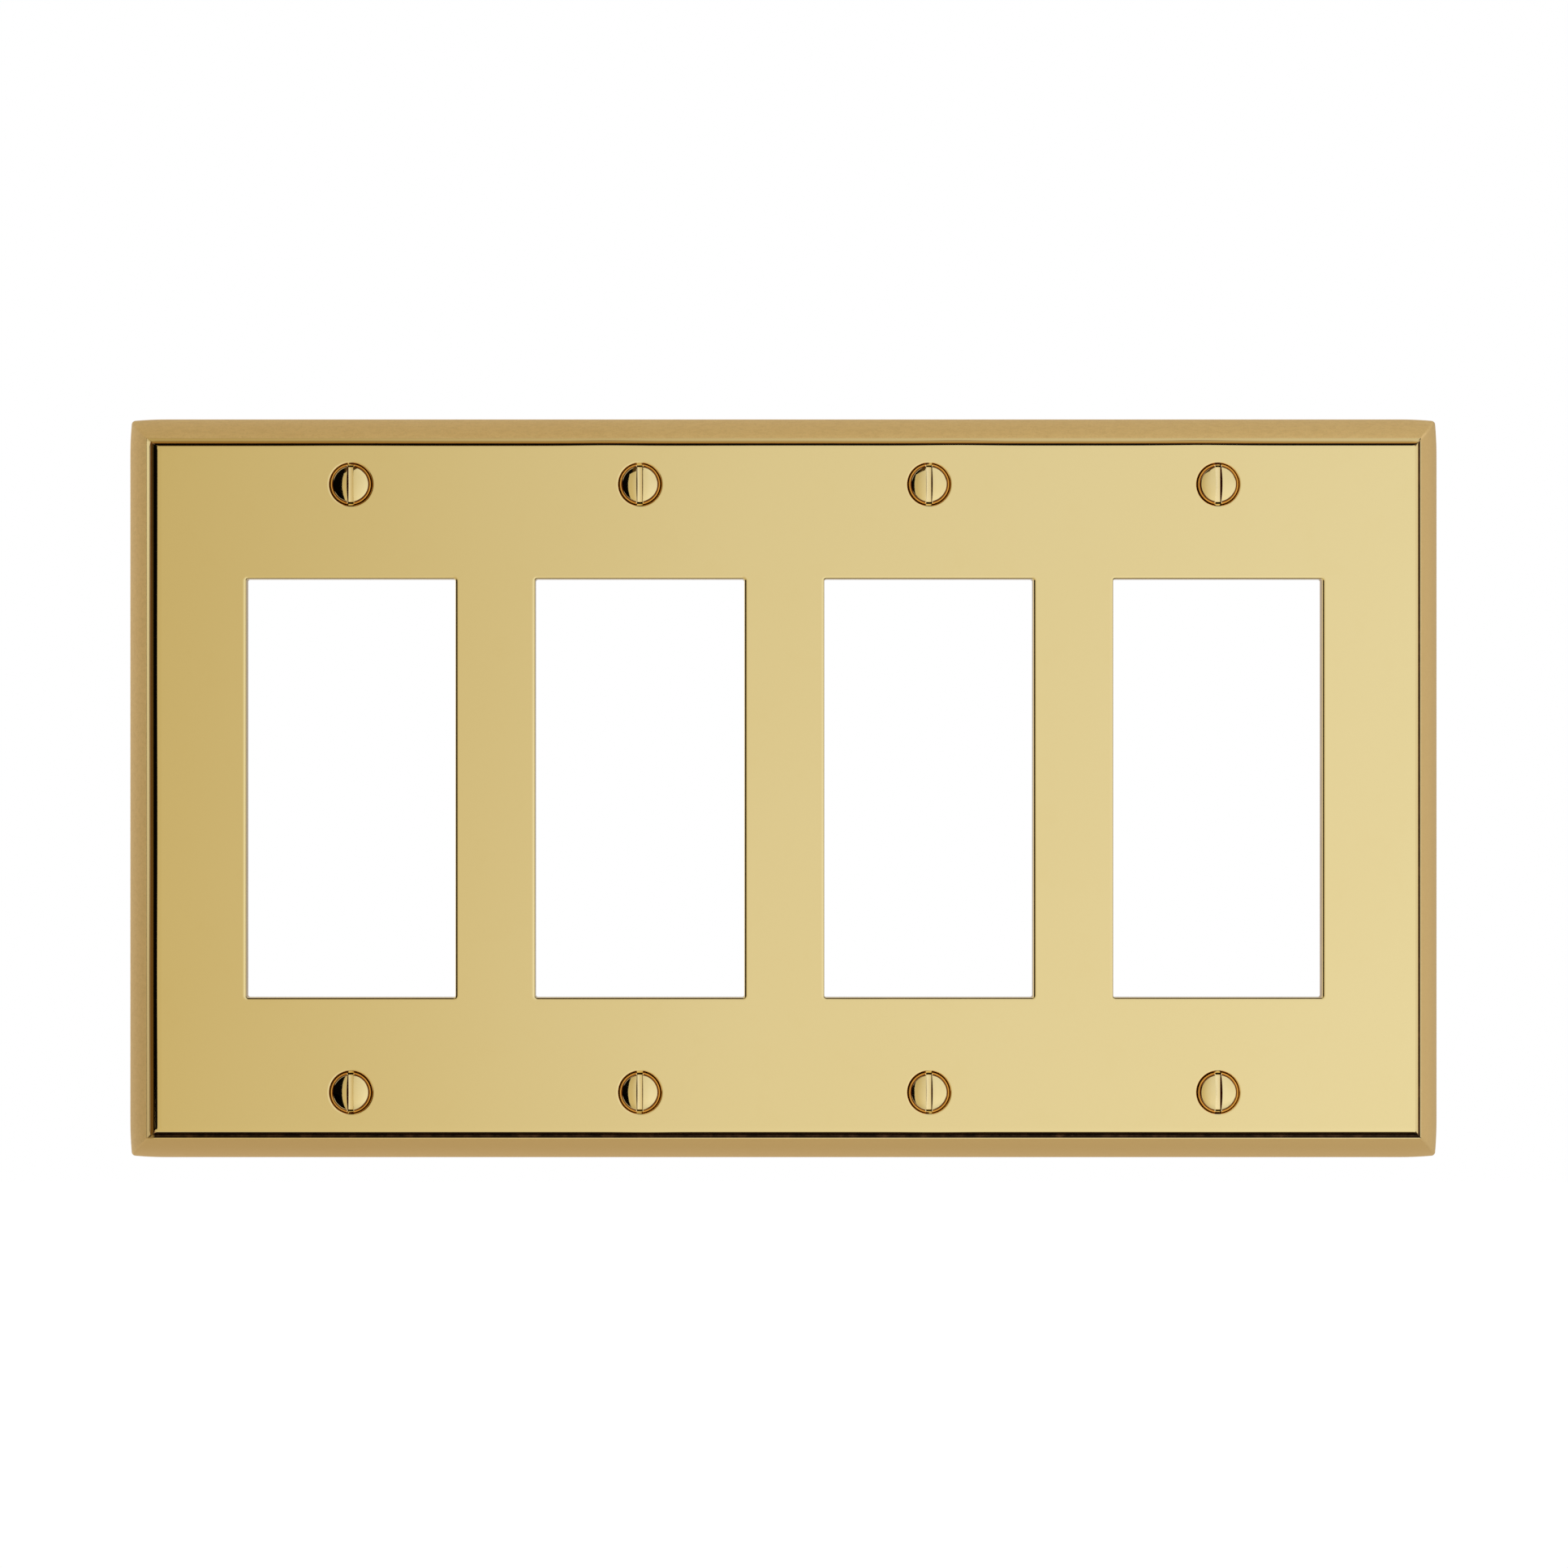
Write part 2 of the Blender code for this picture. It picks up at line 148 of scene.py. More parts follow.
class Shell:
    """Vertices with their painted shade, and faces with a material index each."""

    def __init__(self):
        self.verts, self.faces, self.mats, self.painted_shade = [], [], [], {}

    def ring(self, points, height, painted_shade=None):
        """Adds X and Z points at one height above the wall, or one each; returns indices."""
        start = len(self.verts)
        heights = height if isinstance(height, list) else [height] * len(points)
        self.verts += [(x, -h, z) for (x, z), h in zip(points, heights)]
        if painted_shade:
            self.painted_shade.update({start + i: g for i, g in enumerate(painted_shade)})
        return list(range(start, start + len(points)))

    def skin(self, rings, mat, flip=False):
        """Joins each ring to the next with a band of quads."""
        for a, b in zip(rings, rings[1:]):
            for i in range(len(a)):
                j = (i + 1) % len(a)
                quad = (a[i], a[j], b[j], b[i])
                self.faces.append(quad[::-1] if flip else quad)
                self.mats.append(mat)

    def mesh(self, name, materials):
        mesh = bpy.data.meshes.new(name)
        mesh.from_pydata(self.verts, [], self.faces)
        mesh.polygons.foreach_set("material_index", self.mats)
        bm = bmesh.new()
        bm.from_mesh(mesh)
        bmesh.ops.recalc_face_normals(bm, faces=bm.faces)
        finish_mesh(bm, mesh, materials, sharp=35.0)
        # the painted shade goes to the polished material as a vertex attribute
        painted_shade_layer = mesh.attributes.new("painted_shade", "FLOAT", "POINT")
        values = [self.painted_shade.get(i, 0.0) for i in range(len(self.verts))]
        painted_shade_layer.data.foreach_set("value", values)
        return mesh


def arc(radius, slope_from, slope_to, steps, start):
    """(inset, height) points after the start, on an arc between two slopes in degrees."""
    inset, height = start
    first = math.radians(slope_from)
    points = []
    for i in range(1, steps + 1):
        angle = math.radians(slope_from + (slope_to - slope_from) * i / steps)
        points.append((inset + radius * (math.sin(first) - math.sin(angle)),
                       height + radius * (math.cos(angle) - math.cos(first))))
    return points


def rounded_rect(cx, half_x, half_z, radius, corner_steps, nx, nz):
    """A rounded rectangle round (cx, 0), clockwise from the top left, nx and nz steps a side."""
    points = []
    for k, (sx, sz) in enumerate(((1, 1), (1, -1), (-1, -1), (-1, 1))):
        n = nx if k % 2 == 0 else nz
        for i in range(1, n):
            t = -1 + 2 * i / n
            along_x, along_z = t * (half_x - radius), t * (half_z - radius)
            points.append((
                (cx + along_x, half_z),
                (cx + half_x, -along_z),
                (cx - along_x, -half_z),
                (cx - half_x, along_z),
            )[k])
        for i in range(corner_steps + 1):
            a = math.radians(90 - 90 * k - 90 * i / corner_steps)
            points.append((cx + sx * (half_x - radius) + radius * math.cos(a),
                           sz * (half_z - radius) + radius * math.sin(a)))
    return points


def circle(cx, cz, radius, n):
    angles = [2 * math.pi * i / n for i in range(n)]
    return [(cx + radius * math.cos(a), cz + radius * math.sin(a)) for a in angles]


def inside(outline, x, z):
    hit = False
    for (x1, z1), (x2, z2) in zip(outline, outline[1:] + outline[:1]):
        if (z1 > z) != (z2 > z) and x < (x2 - x1) * (z - z1) / (z2 - z1) + x1:
            hit = not hit
    return hit


def in_box(box, x, z, margin=0.0):
    low_x, high_x, low_z, high_z = box
    return low_x - margin < x < high_x + margin and low_z - margin < z < high_z + margin


def fill(shell, outer, holes, height, mat, spacing):
    """Triangulates the flat between an outer ring and its holes, with a grid of inner points.
    It works in millimetres, and so is the grid's spacing."""
    owners, points, edges, outlines = [], [], [], []
    for loop in [outer] + holes:
        base = len(points)
        outline = [(shell.verts[v][0] * 1000, shell.verts[v][2] * 1000) for v in loop]
        outlines.append(outline)
        owners += loop
        points += [Vector(p) for p in outline]
        edges += [(base + k, base + (k + 1) % len(loop)) for k in range(len(loop))]
    boxes = []
    for outline in outlines:
        xs, zs = zip(*outline)
        boxes.append((min(xs), max(xs), min(zs), max(zs)))

    low_x, high_x, low_z, high_z = boxes[0]
    nx, nz = int((high_x - low_x) / spacing), int((high_z - low_z) / spacing)
    for a in range(1, nx):
        for b in range(1, nz):
            x = low_x + (high_x - low_x) * a / nx
            z = low_z + (high_z - low_z) * b / nz
            if not any(in_box(box, x, z, margin=1.0) for box in boxes[1:]):
                points.append(Vector((x, z)))
                owners.append(None)

    made, _, triangles, sources, _, _ = geometry.delaunay_2d_cdt(points, edges, [], 0, 1e-5)
    index = []
    for v, source in zip(made, sources):
        known = next((owners[s] for s in source if owners[s] is not None), None)
        if known is None:
            known = len(shell.verts)
            shell.verts.append((v.x / 1000, -height, v.y / 1000))
        index.append(known)
    for triangle in triangles:
        x = sum(made[i].x for i in triangle) / 3
        z = sum(made[i].y for i in triangle) / 3
        if any(in_box(box, x, z) and inside(outline, x, z)
               for box, outline in zip(boxes[1:], outlines[1:])):
            continue
        face = tuple(index[i] for i in triangle)
        if inside(outlines[0], x, z) and len(set(face)) == 3:
            shell.faces.append(face)
            shell.mats.append(mat)


# =============================================================================================
# rings round the whole plate
# =============================================================================================

# The panel's outer edge isn't ruler straight but swells in places.
# Each swell: its X or Z along the side in metres, its height in mm, its spread in metres.
EDGE_SWELLS = {
    "top": (
        (-0.0285, 0.085, 0.0042), (0.0277, 0.09, 0.0045), (0.0665, 0.10, 0.0050),
        (-0.069, 0.04, 0.006), (0.0, 0.03, 0.012),
    ),
    "right": ((0.028, 0.05, 0.012), (-0.022, 0.04, 0.011)),
    "bottom": (
        (-0.0222, 0.11, 0.0050), (0.0240, 0.10, 0.0055),
        (-0.0660, 0.05, 0.006), (0.0700, 0.05, 0.006),
    ),
    "left": ((0.020, 0.04, 0.012), (-0.030, 0.05, 0.010)),
}
SWELL_FADE = 6 * MM  # the swells die out over this length towards a corner

# Points along a side: these distances from each corner's tangent point, then even steps.
SIDE_STEPS = mm(0.2, 0.45, 0.75, 1.1, 1.6, 2.2, 3.0, 4.0, 5.0)
EVEN_STEPS = (104, 56, 104, 56)
CORNER_STEPS = 8


def swell(side, place_along):
    return MM * sum(
        height * math.exp(-((place_along - centre) ** 2) / (2 * spread * spread))
        for centre, height, spread in EDGE_SWELLS[side]
    )


def plate_ring(inset, corner, draw=0.0, wavy=0.0):
    """One closed ring parallel to the plate's outline, always with the same number of points.
    The inset is one length or one for each side; draw pulls the sides in near the corners and
    wavy is the share of the edge's swells."""
    insets = inset if isinstance(inset, list) else [inset] * 4
    points = []
    for k, side in enumerate(("top", "right", "bottom", "left")):
        half_along, half_across = (HALF_X, HALF_Z) if k % 2 == 0 else (HALF_Z, HALF_X)
        across = half_across - insets[k]
        after = half_along - insets[(k + 1) % 4] - corner - draw
        before = half_along - insets[(k - 1) % 4] - corner - draw
        first, last = SIDE_STEPS[-1] - before, after - SIDE_STEPS[-1]
        n = EVEN_STEPS[k]
        stations = [s - before for s in SIDE_STEPS]
        stations += [first + (last - first) * i / n for i in range(1, n)]
        stations += [after - s for s in reversed(SIDE_STEPS)]

        local = []  # (along the side, out from the middle)
        for u in stations:
            to_corner = min(after - u, before + u)
            drawn = draw * (1 - min(1.0, to_corner / CORNER_DRAW_LENGTH)) ** 2
            place_along = u if side in ("top", "left") else -u
            fade = min(1.0, to_corner / SWELL_FADE)
            local.append((u, across - drawn + wavy * fade * swell(side, place_along)))
        for i in range(CORNER_STEPS + 1):
            a = math.radians(90 - 90 * i / CORNER_STEPS)
            local.append((after + corner * math.cos(a),
                          across - corner - draw + corner * math.sin(a)))
        points += [((u, v), (v, -u), (-u, -v), (-v, u))[k] for u, v in local]
    return points


def per_side(values):
    """Four side values spread over a plate ring and blended round its corners."""
    out = []
    for k, value in enumerate(values):
        change = values[(k + 1) % 4] - value
        out += [value] * (EVEN_STEPS[k] - 1 + 2 * len(SIDE_STEPS))
        out += [value + change * i / CORNER_STEPS for i in range(CORNER_STEPS + 1)]
    return out


def side_ring(shell, insets, heights, corner, draw=0.0, wavy=0.0, painted_shade=(0.0, 0.0, 0.0, 0.0)):
    """A plate ring whose inset, height and painted shade differ from side to side."""
    points = plate_ring(insets, corner, draw, wavy)
    return shell.ring(points, per_side(heights), per_side(painted_shade))


# =============================================================================================
# the plate
# =============================================================================================

POLISHED, SATIN, BACK, CUT = range(4)

# Stations from the crest to the chamfer's top: share of the way, then the painted shade on the
# four sides, dark where the quirk and chamfer would reflect the dark room.
QUIRK_STATIONS = (
    (0.06, (0.0, 0.90, 0.93, 0.0)),
    (0.50, (0.0, 0.97, 0.97, 0.0)),
    (0.92, (0.05, 0.97, 0.90, 0.30)),
)
CHAMFER_STATIONS = (
    (0.25, (0.05, 0.0, 0.97, 0.88)),
    (0.55, (0.60, 0.0, 0.90, 1.0)),
    (1.00, (0.97, 0.0, 0.3, 1.0)),
)
# The turn between them: inset and height from the chamfer's foot; its painted shade follows.
TURN_STATIONS = (mm(-0.012, 0.012), mm(0.016, 0.018), mm(0.040, 0.040))
TURN_PAINTED_SHADE = (0.1, 0.70, 0.92, 0.50)
TURN_WAVY = 0.25


def between(starts, ends, share):
    return [a + (b - a) * share for a, b in zip(starts, ends)]


def shifted(values, shift):
    return [v + shift for v in values]


def border_rings(shell):
    """The curved border, from the wall up to the crest."""
    foot, top = math.radians(BORDER_SLOPE_FOOT), math.radians(BORDER_SLOPE_TOP)
    width = BORDER_WIDTHS[0]
    radius = width / (math.sin(foot) - math.sin(top))
    rise = radius * (math.cos(top) - math.cos(foot))
    rings = []
    for i in range(BORDER_STEPS + 1):
        angle = foot + (top - foot) * i / BORDER_STEPS
        inset = radius * (math.sin(foot) - math.sin(angle))
        height_share = radius * (math.cos(angle) - math.cos(foot)) / rise
        share = inset / width
        if i == 0:  # just clear of the wall, where the broken back edge begins
            inset, height_share = 0.01 * MM, 0.01
        rings.append(side_ring(
            shell,
            [inset * w / width for w in BORDER_WIDTHS],
            [height_share * h for h in CREST_HEIGHTS],
            corner=OUTER_CORNER + (CREST_CORNER - OUTER_CORNER) * share,
            draw=CORNER_DRAW_IN * (1 - share),
        ))
    return rings


def panel_edge_rings(shell):
    """Crest, quirk, chamfer, round and roll; the last ring lies on the flat of the panel."""
    rings = []
    for inset, height in arc(CREST_R, BORDER_SLOPE_TOP, -QUIRK_FALL, CREST_STEPS, (0.0, 0.0)):
        crest_insets = shifted(BORDER_WIDTHS, inset)
        crest_heights = shifted(CREST_HEIGHTS, height)
        rings.append(side_ring(shell, crest_insets, crest_heights, CREST_CORNER))

    # the chamfer's heights follow from the panel down
    roll_rise = arc(ROLL_ROUND, ROLL_SLOPE, 0.0, 1, (0.0, 0.0))[-1][1]
    chamfer_tops = [
        DEPTH - roll_rise - arc(r, CHAMFER_SLOPE, ROLL_SLOPE, 1, (0.0, 0.0))[-1][1]
        for r in EDGE_ROUNDS
    ]
    chamfer_foots = [
        top_h - (top - foot) for top_h, top, foot in zip(chamfer_tops, CHAMFER_TOPS, CHAMFER_FOOTS)
    ]

    turn_inset, turn_height = TURN_STATIONS[0]
    quirk_insets = shifted(CHAMFER_FOOTS, turn_inset)
    quirk_heights = shifted(chamfer_foots, turn_height)
    for share, painted_shade in QUIRK_STATIONS:
        rings.append(side_ring(
            shell,
            between(crest_insets, quirk_insets, share),
            between(crest_heights, quirk_heights, share),
            CREST_CORNER, wavy=TURN_WAVY * share, painted_shade=painted_shade,
        ))
    for inset, height in TURN_STATIONS:
        rings.append(side_ring(
            shell, shifted(CHAMFER_FOOTS, inset), shifted(chamfer_foots, height),
            CREST_CORNER, wavy=TURN_WAVY, painted_shade=TURN_PAINTED_SHADE,
        ))
    corner_growth = PANEL_CORNER - CREST_CORNER
    for share, painted_shade in CHAMFER_STATIONS:
        rings.append(side_ring(
            shell,
            between(CHAMFER_FOOTS, CHAMFER_TOPS, share),
            between(chamfer_foots, chamfer_tops, share),
            CREST_CORNER + corner_growth * share * 0.4, wavy=0.3 + 0.4 * share, painted_shade=painted_shade,
        ))

    paths = []  # one for each side: the round, then the roll
    for radius, start in zip(EDGE_ROUNDS, zip(CHAMFER_TOPS, chamfer_tops)):
        path = arc(radius, CHAMFER_SLOPE, ROLL_SLOPE, ROUND_STEPS, start)
        paths.append(path + arc(ROLL_ROUND, ROLL_SLOPE, 0.0, ROUND_STEPS, path[-1]))
    last = 2 * ROUND_STEPS - 1
    for i, stations in enumerate(zip(*paths)):
        insets, heights = zip(*stations)
        tail = 1.0 if i < ROUND_STEPS else (last - i) / ROUND_STEPS
        # painted shade runs on over the round, fading inward on the top and left sides
        rings.append(side_ring(
            shell, list(insets), list(heights),
            CREST_CORNER + corner_growth * min(1.0, 0.4 + i / 8),
            wavy=min(1.0, 0.7 + 0.1 * i) * tail,
            painted_shade=(max(0.0, 0.9 - 0.3 * i), 0.0, 0.0, max(0.0, 0.8 - 0.2 * i)),
        ))
    rings.append(shell.ring(plate_ring(shifted(insets, SUPPORT_GAP), PANEL_CORNER), DEPTH))
    return rings


def add_opening(shell, cx):
    """One gang's opening; returns its front and back rings."""
    def ring(grow, height):
        points = rounded_rect(
            cx, OPENING_W / 2 + grow, OPENING_H / 2 + grow, OPENING_CORNER + grow,
            corner_steps=8, nx=9, nz=17,
        )
        return shell.ring(points, height)

    r, e = OPENING_ROUND, OPENING_BACK_CHAMFER
    polished = [ring(r + SUPPORT_GAP, DEPTH), ring(r, DEPTH)]
    for i in range(1, 10):
        a = math.radians(90 - 10 * i)
        polished.append(ring(r * (1 - math.cos(a)), DEPTH - r + r * math.sin(a)))
    cut = [
        polished[-1],
        ring(0, DEPTH - r - 0.06 * MM),
        ring(0, FLOOR_H + e + SUPPORT_GAP),
        ring(0, FLOOR_H + e),
        ring(0.3 * e, FLOOR_H + 0.3 * e),
        ring(e, FLOOR_H),
        ring(e + SUPPORT_GAP, FLOOR_H),
    ]
    shell.skin(polished, POLISHED)
    shell.skin(cut, CUT)
    return polished[0], cut[-1]


def add_screw_hole(shell, cx, cz):
    """A countersunk screw hole; returns its front and back rings."""
    def ring(radius, height):
        return shell.ring(circle(cx, cz, radius, HOLE_STEPS), height)

    slope = 90 - COUNTERSINK_HALF
    mouth_r = COUNTERSINK_R + HOLE_ROUND * math.tan(math.radians(slope / 2))

    def on_round(angle):
        return (mouth_r - HOLE_ROUND * math.sin(angle),
                DEPTH - HOLE_ROUND * (1 - math.cos(angle)))

    polished = [ring(mouth_r + SUPPORT_GAP, DEPTH), ring(mouth_r, DEPTH)]
    for i in range(1, 6):
        polished.append(ring(*on_round(math.radians(slope * i / 5))))

    cone_r, cone_h = on_round(math.radians(slope))
    cone = (cone_r - CLEARANCE_R) / math.tan(math.radians(COUNTERSINK_HALF))
    for t in (0.03, 0.5, 0.97):
        polished.append(ring(cone_r - (cone_r - CLEARANCE_R) * t, cone_h - cone * t))
    e = HOLE_BACK_CHAMFER
    cut = [
        polished[-1],
        ring(CLEARANCE_R, cone_h - cone),
        ring(CLEARANCE_R, cone_h - cone - 0.03 * MM),
        ring(CLEARANCE_R, FLOOR_H + e),
        ring(CLEARANCE_R + e, FLOOR_H),
        ring(CLEARANCE_R + e + SUPPORT_GAP, FLOOR_H),
    ]
    shell.skin(polished, POLISHED)
    shell.skin(cut, CUT)
    return polished[0], cut[-1]


def hollow_rings(shell):
    """The ring on the wall and the drafted sides of the hollow, up to the panel's back."""
    rings = [
        shell.ring(plate_ring(inset, OUTER_CORNER, CORNER_DRAW_IN), height)
        for inset, height in (mm(0.035, 0.012), mm(0.08, 0.0))
    ]

    def add_ring(inset, corner, height):
        rings.append(shell.ring(plate_ring(inset, corner), height))

    e = RIM_EDGE
    add_ring(RIM_WIDTH - e - SUPPORT_GAP, POCKET_CORNER, 0.0)
    add_ring(RIM_WIDTH - e, POCKET_CORNER, 0.0)
    add_ring(RIM_WIDTH - 0.3 * e, POCKET_CORNER, 0.3 * e)
    start_x, start_h = RIM_WIDTH + 0.35 * e, 1.1 * e
    add_ring(start_x, POCKET_CORNER + 0.02 * MM, start_h)

    # the drafted side, then the fillet under the panel
    side_x, side_h = RIM_WIDTH + POCKET_DRAFT * 0.85, FLOOR_H - POCKET_FILLET
    for t in (0.3, 0.6, 0.85, 0.97):
        add_ring(start_x + (side_x - start_x) * t, POCKET_CORNER + 0.6 * MM * t,
                 start_h + (side_h - start_h) * t)
    end_x = RIM_WIDTH + POCKET_DRAFT + 0.25 * MM
    for t in (0.25, 0.5, 0.75, 1.0):
        add_ring(side_x + (end_x - side_x) * t, POCKET_CORNER + (0.6 + 0.2 * t) * MM,
                 side_h + POCKET_FILLET * (1 - (1 - t) ** 2))
    add_ring(end_x + 0.07 * MM, POCKET_CORNER + 0.8 * MM, FLOOR_H)
    return rings


def build_plate(materials):
    shell = Shell()
    border = border_rings(shell)
    edge = panel_edge_rings(shell)
    shell.skin(border + edge[:1], SATIN)
    shell.skin(edge, POLISHED)

    holes = [add_opening(shell, SCREW_AT["top", gang][0]) for gang in GANGS]
    holes += [add_screw_hole(shell, x, z) for x, z in SCREW_AT.values()]
    fill(shell, edge[-1], [front for front, _ in holes], DEPTH, POLISHED, spacing=4.0)

    hollow = hollow_rings(shell)
    shell.skin(border[:1] + hollow, BACK, flip=True)
    fill(shell, hollow[-1], [back for _, back in holes], FLOOR_H, BACK, spacing=5.0)
    return shell.mesh("face_plate_fine", materials)


# =============================================================================================
# screws and washers, turned about local Z; local +Z becomes -Y and local Y becomes +Z
# =============================================================================================

CROWN, SLOT_FLOOR, THREAD, SLOT_WALL, RIM, GROOVE = range(6)

HEAD_STEPS = 96
# The turned groove round the crown: radius and height from the crown's edge.
GROOVE_POINTS = (mm(0.015, -0.025), mm(0.05, -0.115), mm(0.08, -0.125), mm(0.11, -0.115))
RIM_CENTRE = mm(0.28, -0.21)  # centre of the small rounded rim, from the same edge
LAND_IN, LAND_DROP = mm(0.02, 0.07)  # narrow land between the rim and the cone
NECK_OVER_MINOR = 0.06 * MM
# Along the slot: Y, and how far its floor sinks below the middle, both in mm.
SLOT_STATIONS = (
    (-4.0, 0.50), (-2.98, 0.30), (-2.78, 0.07), (-2.66, 0.0),
    (2.66, 0.0), (2.78, 0.07), (2.98, 0.30), (4.0, 0.50),
)
# One turn of the thread: share of the pitch, radius.
THREAD_SHAPE = (
    (0.00, MAJOR_R), (0.11, MAJOR_R), (0.37, MINOR_R + 0.03 * MM),
    (0.45, MINOR_R), (0.66, MINOR_R), (0.74, MINOR_R + 0.03 * MM),
)
THREAD_STEPS = 40
TIP_R = MINOR_R - 0.02 * MM
TIP_FLARE = 1.05  # how fast the thread may grow in radius above the tip
THREAD_IN_HEAD = 0.25 * MM


def lathe(profile, n, closed=False):
    """Turns an (r, z) section into a bmesh; points on the axis become single vertices."""
    bm = bmesh.new()
    rings = []
    for r, z in profile:
        if r < 1e-9:
            rings.append([bm.verts.new((0, 0, z))])
        else:
            rings.append([bm.verts.new((x, y, z)) for x, y in circle(0, 0, r, n)])
    pairs = list(zip(rings, rings[1:]))
    if closed:
        pairs.append((rings[-1], rings[0]))
    for a, b in pairs:
        for i in range(n):
            j = (i + 1) % n
            if len(a) == 1:
                bm.faces.new((a[0], b[i], b[j]))
            elif len(b) == 1:
                bm.faces.new((a[i], b[0], a[j]))
            else:
                bm.faces.new((a[i], b[i], b[j], a[j]))
    bmesh.ops.recalc_face_normals(bm, faces=bm.faces)
    return bm


def solid(name, bm):
    mesh = bpy.data.meshes.new(name)
    bm.to_mesh(mesh)
    bm.free()
    return place(name, mesh)


def head_profile():
    """(r, z) section of the oval head, from the top of its crown to the middle of its neck."""
    edge = math.asin(HEAD_EDGE_R / HEAD_SPHERE_R)
    profile = []
    for i in range(25):
        a = edge * i / 24
        profile.append((HEAD_SPHERE_R * math.sin(a),
                        HEAD_PROUD - HEAD_SPHERE_R * (1 - math.cos(a))))
    edge_r, edge_z = profile[-1]
    profile += [(edge_r + out, edge_z + up) for out, up in GROOVE_POINTS]
    centre_r, centre_z = edge_r + RIM_CENTRE[0], edge_z + RIM_CENTRE[1]
    for i in range(11):
        a = math.radians(-42 + 132 * i / 10)
        profile.append((centre_r + HEAD_RIM_R * math.sin(a), centre_z + HEAD_RIM_R * math.cos(a)))

    cone_r, cone_z = profile[-1][0] - LAND_IN, profile[-1][1] - LAND_DROP
    narrowing = cone_r - (MINOR_R + NECK_OVER_MINOR)
    cone = narrowing / math.tan(math.radians(COUNTERSINK_HALF))
    profile += [(cone_r - narrowing * t, cone_z - cone * t) for t in (0.0, 0.5, 1.0)]
    profile.append((0.0, profile[-1][1]))
    return profile


def slot_cutter():
    """A bar along local Y with tapered sides and a small radius along its floor."""
    bm = bmesh.new()
    top = HEAD_PROUD + 1 * MM
    half, foot, f = SLOT_W / 2, SLOT_FLOOR_W / 2, SLOT_FILLET
    sections = []
    for y, sink in SLOT_STATIONS:
        floor = HEAD_PROUD - SLOT_D - sink * MM
        right = [
            (foot - f, floor), (foot - 0.3 * f, floor + 0.3 * f), (foot, floor + f),
            (half, HEAD_PROUD), (half, top),
        ]
        section = [(-x, z) for x, z in reversed(right)] + right
        sections.append([bm.verts.new((x, y * MM, z)) for x, z in section])
    for a, b in zip(sections, sections[1:]):
        for i in range(len(a)):
            j = (i + 1) % len(a)
            bm.faces.new((a[i], a[j], b[j], b[i]))
    bm.faces.new(sections[0])
    bm.faces.new(sections[-1])
    bmesh.ops.recalc_face_normals(bm, faces=bm.faces)
    return solid("slot", bm)


def head_mesh():
    """The slotted head with its edges slightly broken, and the height of its neck."""
    profile = head_profile()
    blank = solid("head_blank", lathe(profile, HEAD_STEPS))
    slot = slot_cutter()

    cut = blank.modifiers.new("slot", "BOOLEAN")
    cut.operation, cut.solver, cut.object = "DIFFERENCE", "EXACT", slot
    bevel = blank.modifiers.new("broken edges", "BEVEL")
    bevel.limit_method, bevel.angle_limit = "ANGLE", math.radians(50)
    bevel.width, bevel.segments, bevel.use_clamp_overlap = 0.022 * MM, 2, True
    graph = bpy.context.evaluated_depsgraph_get()
    head = bpy.data.meshes.new_from_object(blank.evaluated_get(graph))
    bpy.data.objects.remove(blank, do_unlink=True)
    bpy.data.objects.remove(slot, do_unlink=True)
    return head, profile[-1][1]


def head_part(face):
    """The material index of one face of the head, from its place and normal."""
    centre = face.calc_center_median()
    radius = math.hypot(centre.x, centre.y)
    groove_r = HEAD_EDGE_R + 0.19 * MM
    if abs(centre.x) <= SLOT_W / 2 + 0.001 * MM and centre.z > HEAD_PROUD - SLOT_D - 0.45 * MM:
        return SLOT_FLOOR if abs(face.normal.x) < 0.7 else SLOT_WALL
    if centre.z < -0.35 * MM:
        return THREAD
    if HEAD_EDGE_R < radius < groove_r:
        return GROOVE
    return RIM if radius >= groove_r else CROWN


def add_thread(bm, z_tip, z_top):
    """A closed right-hand thread from the tip to inside the head's cone."""
    turns = int(math.ceil((z_top - z_tip) / THREAD_PITCH)) + 3
    base = z_tip - 1.5 * THREAD_PITCH
    ends = ("tip", "top")
    made = {}

    def vertex_key(i, j):
        """Step i round the helix, point j of its section; beyond an end it joins that end."""
        if j == len(THREAD_SHAPE):
            i, j = i + THREAD_STEPS, 0
        phase, r = THREAD_SHAPE[j]
        z = base + THREAD_PITCH * (i / THREAD_STEPS + phase)
        a = 2 * math.pi * (i % THREAD_STEPS) / THREAD_STEPS
        if z <= z_tip:
            key, r, z = ("tip", i % THREAD_STEPS), TIP_R, z_tip
        elif z >= z_top:
            key, r, z = ("top", i % THREAD_STEPS), MINOR_R, z_top
        else:
            key = (i, j)
            r = min(r, TIP_R + (z - z_tip) * TIP_FLARE)
        if key not in made:
            made[key] = bm.verts.new((r * math.cos(a), r * math.sin(a), z))
        return key

    for i in range(THREAD_STEPS * turns):
        for j in range(len(THREAD_SHAPE)):
            corners = [(i, j), (i + 1, j), (i + 1, j + 1), (i, j + 1)]
            keys = list(dict.fromkeys(vertex_key(*c) for c in corners))
            on_end = [k[0] for k in keys if k[0] in ends]
            # a face mustn't lie within an end or bridge the two
            if len(keys) >= 3 and len(set(on_end)) < 2 and len(on_end) < len(keys):
                bm.faces.new([made[k] for k in keys])
    for end in ends:
        bm.faces.new([made[end, i] for i in range(THREAD_STEPS)])


